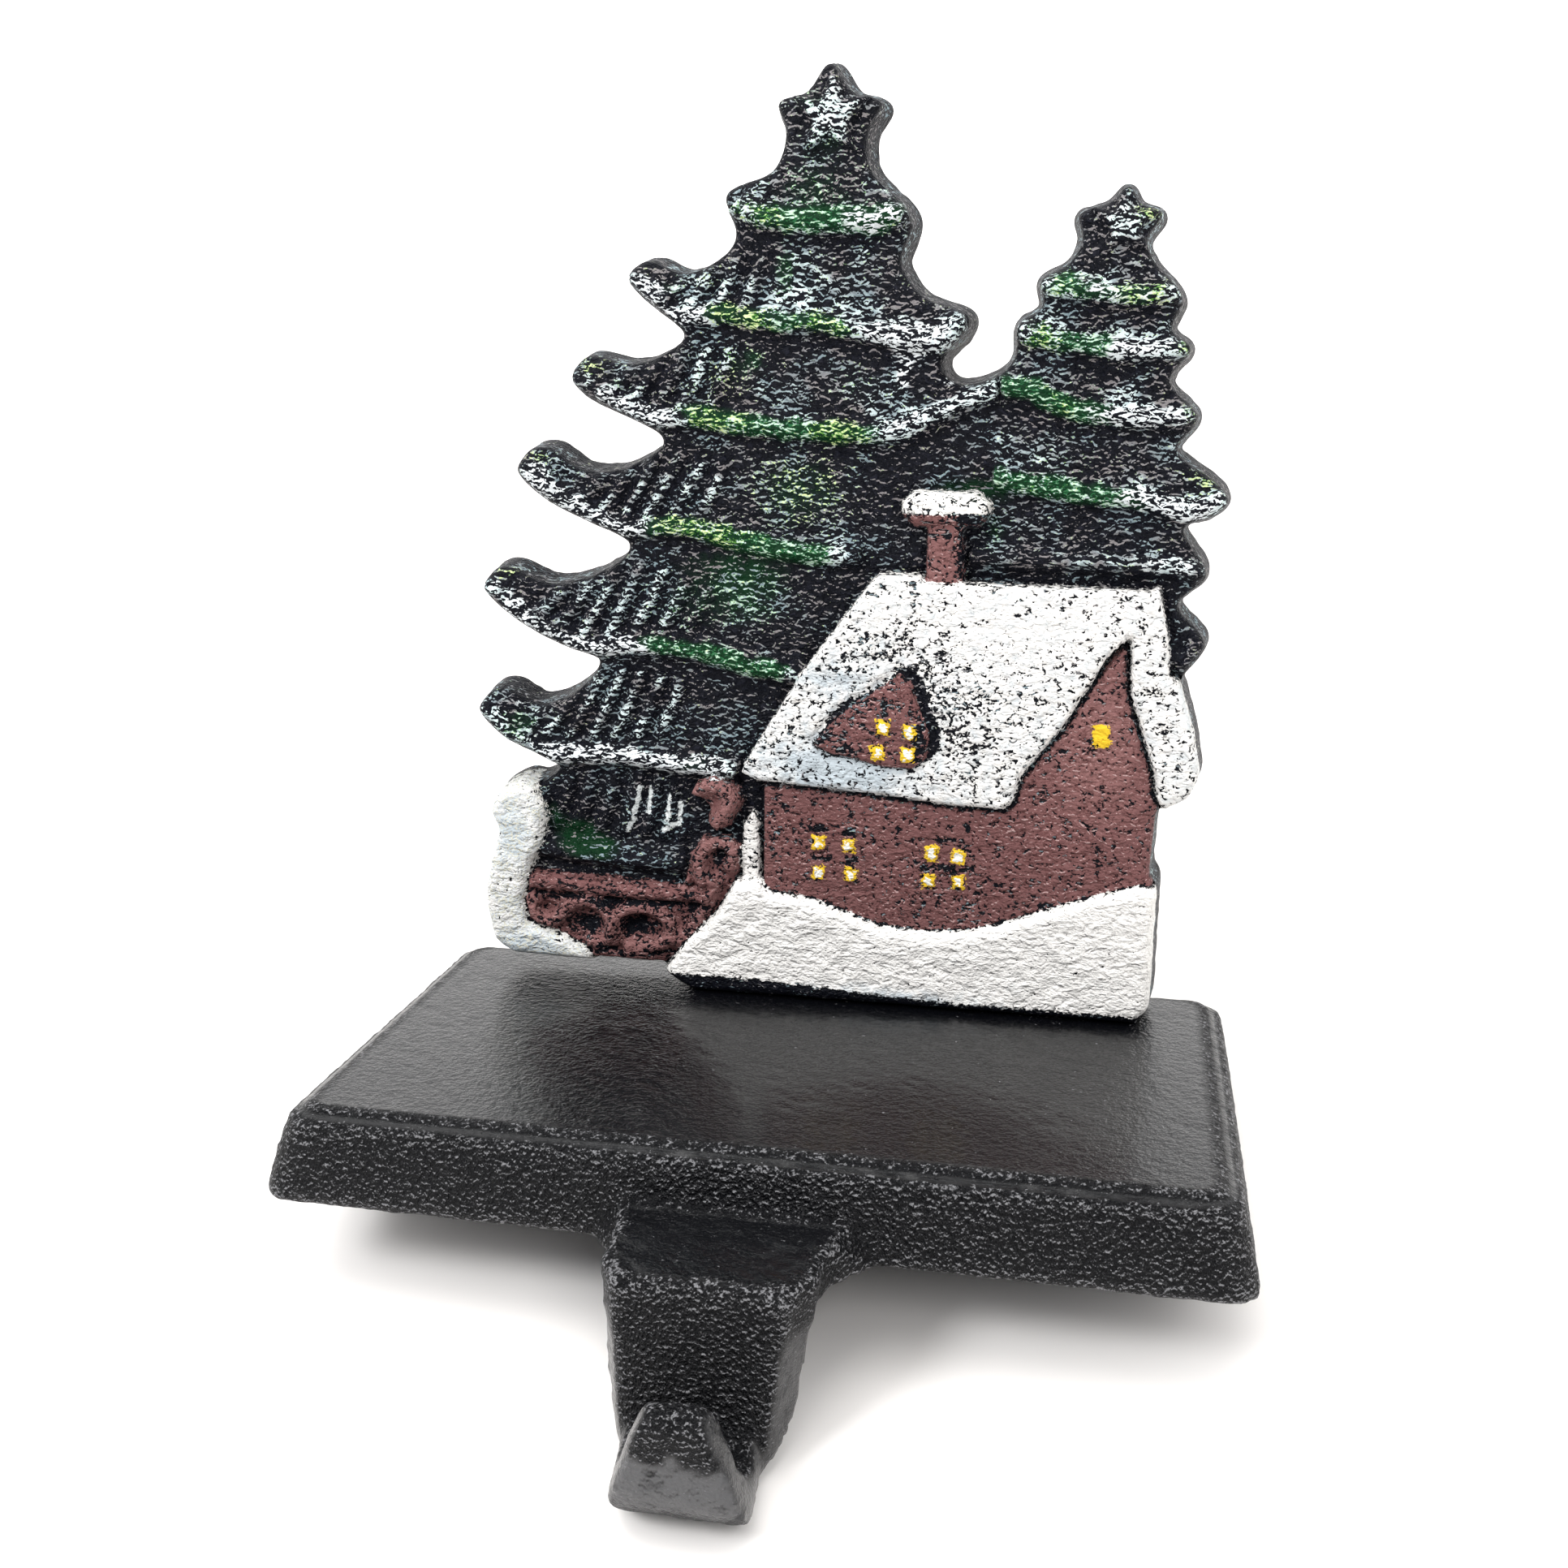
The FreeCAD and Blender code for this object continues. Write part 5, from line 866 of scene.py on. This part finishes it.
def screw_steel():
    """Plated steel with a fine uneven polish."""
    made, tree, shader = material("screw_steel")
    polish = noise(node(tree, "TexCoord", "Object"), 2500.0, 2.0)
    fill(shader, {"Base Color": tint(band(polish, 0.4, 0.7), STEEL_DARK, STEEL_PALE),
                  "Roughness": band(polish, -0.6, 2.4), "Normal": bumped(polish, 0.3, 0.1 * MM),
                  "Metallic": 1.0})
    return made


# ---- Pieces ----
def placed(name, data):
    """A new object, put in the scene."""
    made = bpy.data.objects.new(name, data)
    bpy.context.scene.collection.objects.link(made)
    return made


def even_copy(name, source, cell):
    """A copy of a CAD solid with its surface divided into small even faces."""
    rough = placed(name + "_rough", source.data.copy())
    remesh = rough.modifiers.new("even", "REMESH")
    remesh.mode = "VOXEL"
    remesh.voxel_size = cell
    graph = bpy.context.evaluated_depsgraph_get()
    mesh = bpy.data.meshes.new_from_object(rough.evaluated_get(graph))
    mesh.name = name
    bpy.data.objects.remove(rough)
    mesh.materials.clear()
    mesh.shade_smooth()
    return mesh


BASE_CELL = 0.6  # width of the base's faces
RIDGE_HIGHLIGHT_PER_MM = 5.0  # how strongly a ridge gets the painted highlight


def mesh_arrays(mesh):
    """Places and normals of a mesh's points, as arrays."""
    arrays = []
    for kind in ("co", "normal"):
        values = np.empty(len(mesh.vertices) * 3, np.float32)
        mesh.vertices.foreach_get(kind, values)
        arrays.append(values.reshape(-1, 3).astype(float))
    return arrays


def relaxed(mesh, places, weight, rounds):
    """The points moved towards the middle of their neighbours, over and over, by a weight."""
    ends = np.empty(len(mesh.edges) * 2, np.int32)
    mesh.edges.foreach_get("vertices", ends)
    first, second = ends.reshape(-1, 2).T
    share = np.bincount(first, minlength=len(places)) + np.bincount(second, minlength=len(places))
    for _ in range(rounds):
        total = np.column_stack([np.bincount(first, places[second, axis], len(places))
                                 + np.bincount(second, places[first, axis], len(places))
                                 for axis in range(3)])
        places = places + (weight * 0.5)[:, None] * (total / share[:, None] - places)
    return places


def build_base():
    """The tray plate and hook, one casting with soft edges; the painted highlight is high on ridges, low in
    corners.
    """
    mesh = even_copy("base_casting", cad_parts["base_and_hook"], BASE_CELL * MM)
    places, normals = mesh_arrays(mesh)
    on_hook = ramp(-places[:, 1] / MM, -4.0, 0.0) * ramp(-places[:, 2] / MM, -9.5, -6.5)
    places = relaxed(mesh, places, 0.55 + 0.45 * on_hook, 5)
    places = relaxed(mesh, places, on_hook, 3)
    ridge = np.sum((places - relaxed(mesh, places, np.ones(len(places)), 12)) * normals, axis=1) / MM
    x, y, z = places.T / MM
    top = ramp(normals[:, 2], 0.84, 0.98) * ramp(z, 8.0, 10.0)
    ripple = 0.12 * lumps(x + y, z + y * 0.7, 1.4, 21) + 0.06 * lumps(x - z, y + z, 0.9, 22)
    shift = ripple * (1 - 0.45 * top) + 0.25 * on_hook
    low, high = (np.array(corner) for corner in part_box("base_and_hook"))
    places = np.clip(places + normals * shift[:, None] * MM, low, high)
    mesh.vertices.foreach_set("co", places.astype(np.float32).ravel())

    tongue = ramp(normals[:, 2], 0.6, 0.95) * ramp(z, 3.0, 4.2) * ramp(-y, 2.2, 3.2)
    smooth = np.maximum(top, 0.88 * tongue)
    below = 1 - ramp(z + 1.5 * lumps(x, z, 2.0, 23), -9.4, -8.2)
    prong = ramp(-y, 29.0, 31.0) * ramp(-normals[:, 1], 0.3, 0.7) * below
    flanks = ramp(np.abs(normals[:, 0]), 0.6, 0.9) * ramp(-y, 4.0, 8.0) * ramp(-z, -1.0, 3.0)
    # The casting's skin is rough where the tongue leaves the skirt, with painted glints that make it bright.
    beside = np.maximum(np.abs(x) - 13.4, z - 5.2)
    ridge = ridge + (0.15 + 0.13 * lumps(x, y + z, 1.0, 24)) * near(beside, 1.3) * near(y + 1.6, 1.3)
    smooth = smooth * (1 - ramp(ridge, 0.04, 0.14))
    ridge = ridge * (1 - 0.6 * ramp(-y, 28.0, 30.0))
    # The prong's low front gets a painted reflection of the floor, the leg's sides a painted sheen.
    paint_points(mesh, {"smooth": np.clip(smooth + 0.9 * prong + 0.8 * flanks, 0, 1),
                        "painted_reflection": np.clip(prong + 0.25 * flanks, 0, 1),
                        "ridge_highlight": np.clip(ridge * RIDGE_HIGHLIGHT_PER_MM, -1, 1.5)})
    return mesh


def add_piece(mesh, skin, stands_for):
    """Puts a mesh into the scene as a piece that rides on the body in place of a CAD node."""
    piece = placed(mesh.name, mesh)
    mesh.materials.append(skin)
    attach(piece, "root")
    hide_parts(stands_for)


SLAB_THICK = 7.0
plaque_low, plaque_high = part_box("scene_plaque")
slab_back = plaque_high.y / MM
plaque = plaque_mesh("plaque_casting", slab_back - SLAB_THICK, slab_back, plaque_low.z / MM)
add_piece(plaque, painted_relief(), "scene_plaque")
add_piece(build_base(), black_enamel(), "base_and_hook")
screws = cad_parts["plaque_screws"]
screws.data.materials.clear()
screws.data.materials.append(screw_steel())

# ---- Stage: floor, light and camera ----
LEAN = math.atan2(19.7, 90.1)
HOOK_FOOT = Vector((0.0, -20.1 * MM, -19.7 * MM))
FLOOR_GAP = 0.2 * MM
FLOOR_REACH = 6.0
# Where the photograph was taken from, in radians round the point aimed at.
AZIMUTH, ELEVATION, ROLL = 0.196, 0.252, 0.006
DISTANCE = 227.25 * MM
AIM = Vector((-0.857, 34.0, 50.779)) * MM
SENSOR_WIDTH = 36.0
FOCAL_PIXELS, PHOTO_PIXELS = 2045, 1932


def build_floor():
    """A pale floor under the hook's foot and the plate's back rim, so it leans with the part's frame."""
    mesh = bpy.data.meshes.new("floor")
    corners = ((-1, -1), (1, -1), (1, 1), (-1, 1))
    mesh.from_pydata([(x * FLOOR_REACH, y * FLOOR_REACH, 0) for x, y in corners], [], [(0, 1, 2, 3)])
    floor = placed("floor", mesh)
    foot = Matrix.Translation(HOOK_FOOT - Vector((0, 0, FLOOR_GAP)))
    floor.matrix_world = foot @ Matrix.Rotation(LEAN, 4, "X")
    made, tree, shader = material("pale_floor")
    away = node(tree, "VectorMath", "Value", {0: node(tree, "TexCoord", "Object")}, operation="LENGTH")
    fill(shader, {"Emission Color": tint(band(away, 0.2, 0.8), NO_GLOW, FULL_GLOW), "Emission Strength": 0.6,
                  "Base Color": FLOOR_CREAM, "Roughness": 0.85, "Specular IOR Level": 0.2})
    mesh.materials.append(made)


def add_light(name, place, aim, size, power, colour):
    """A square soft light aimed at a point."""
    data = bpy.data.lights.new(name, "AREA")
    data.shape = "SQUARE"
    data.size = size
    data.energy = power
    data.color = colour
    light = placed(name, data)
    light.location = place
    light.rotation_euler = (Vector(aim) - Vector(place)).to_track_quat("-Z", "Y").to_euler()


def build_camera():
    """The camera at the photograph's viewpoint."""
    data = bpy.data.cameras.new("camera")
    data.sensor_width = SENSOR_WIDTH
    data.lens = SENSOR_WIDTH * FOCAL_PIXELS / PHOTO_PIXELS
    data.clip_start = 0.01
    camera = placed("camera", data)
    turned = (Matrix.Rotation(AZIMUTH, 4, "Z") @ Matrix.Rotation(math.pi / 2 - ELEVATION, 4, "X")
              @ Matrix.Rotation(ROLL, 4, "Z"))
    camera.matrix_world = Matrix.Translation(AIM) @ turned @ Matrix.Translation((0, 0, DISTANCE))
    bpy.context.scene.camera = camera


def build_world():
    """White studio behind and above, dimmer towards the viewer's side."""
    world = bpy.data.worlds.new("studio")
    world.use_nodes = True
    tree = world.node_tree
    way = node(tree, "TexCoord", "Generated")
    ahead, up = (node(tree, "SeparateXYZ", axis, {0: way}) for axis in "YZ")
    glow = tint(band(ahead + up * 0.8, -0.7, 0.45), STUDIO_DIM, STUDIO_BRIGHT)
    fill(tree.nodes["Background"], {"Color": glow, "Strength": 1.0})
    bpy.context.scene.world = world


build_floor()
build_world()
add_light("overhead", (-0.10, -0.15, 0.80), (0, 0.03, 0.05), 0.6, 3.8, (1.0, 0.985, 0.965))
add_light("front_left", (-0.40, -0.50, 0.55), (0, 0.03, 0.06), 0.22, 3.5, (0.98, 0.99, 1.0))
add_light("front_right", (0.35, -0.60, 0.50), (0, -0.02, 0.02), 0.30, 1.6, (1.0, 0.99, 0.98))
bpy.context.scene.view_settings.view_transform = "Standard"
build_camera()
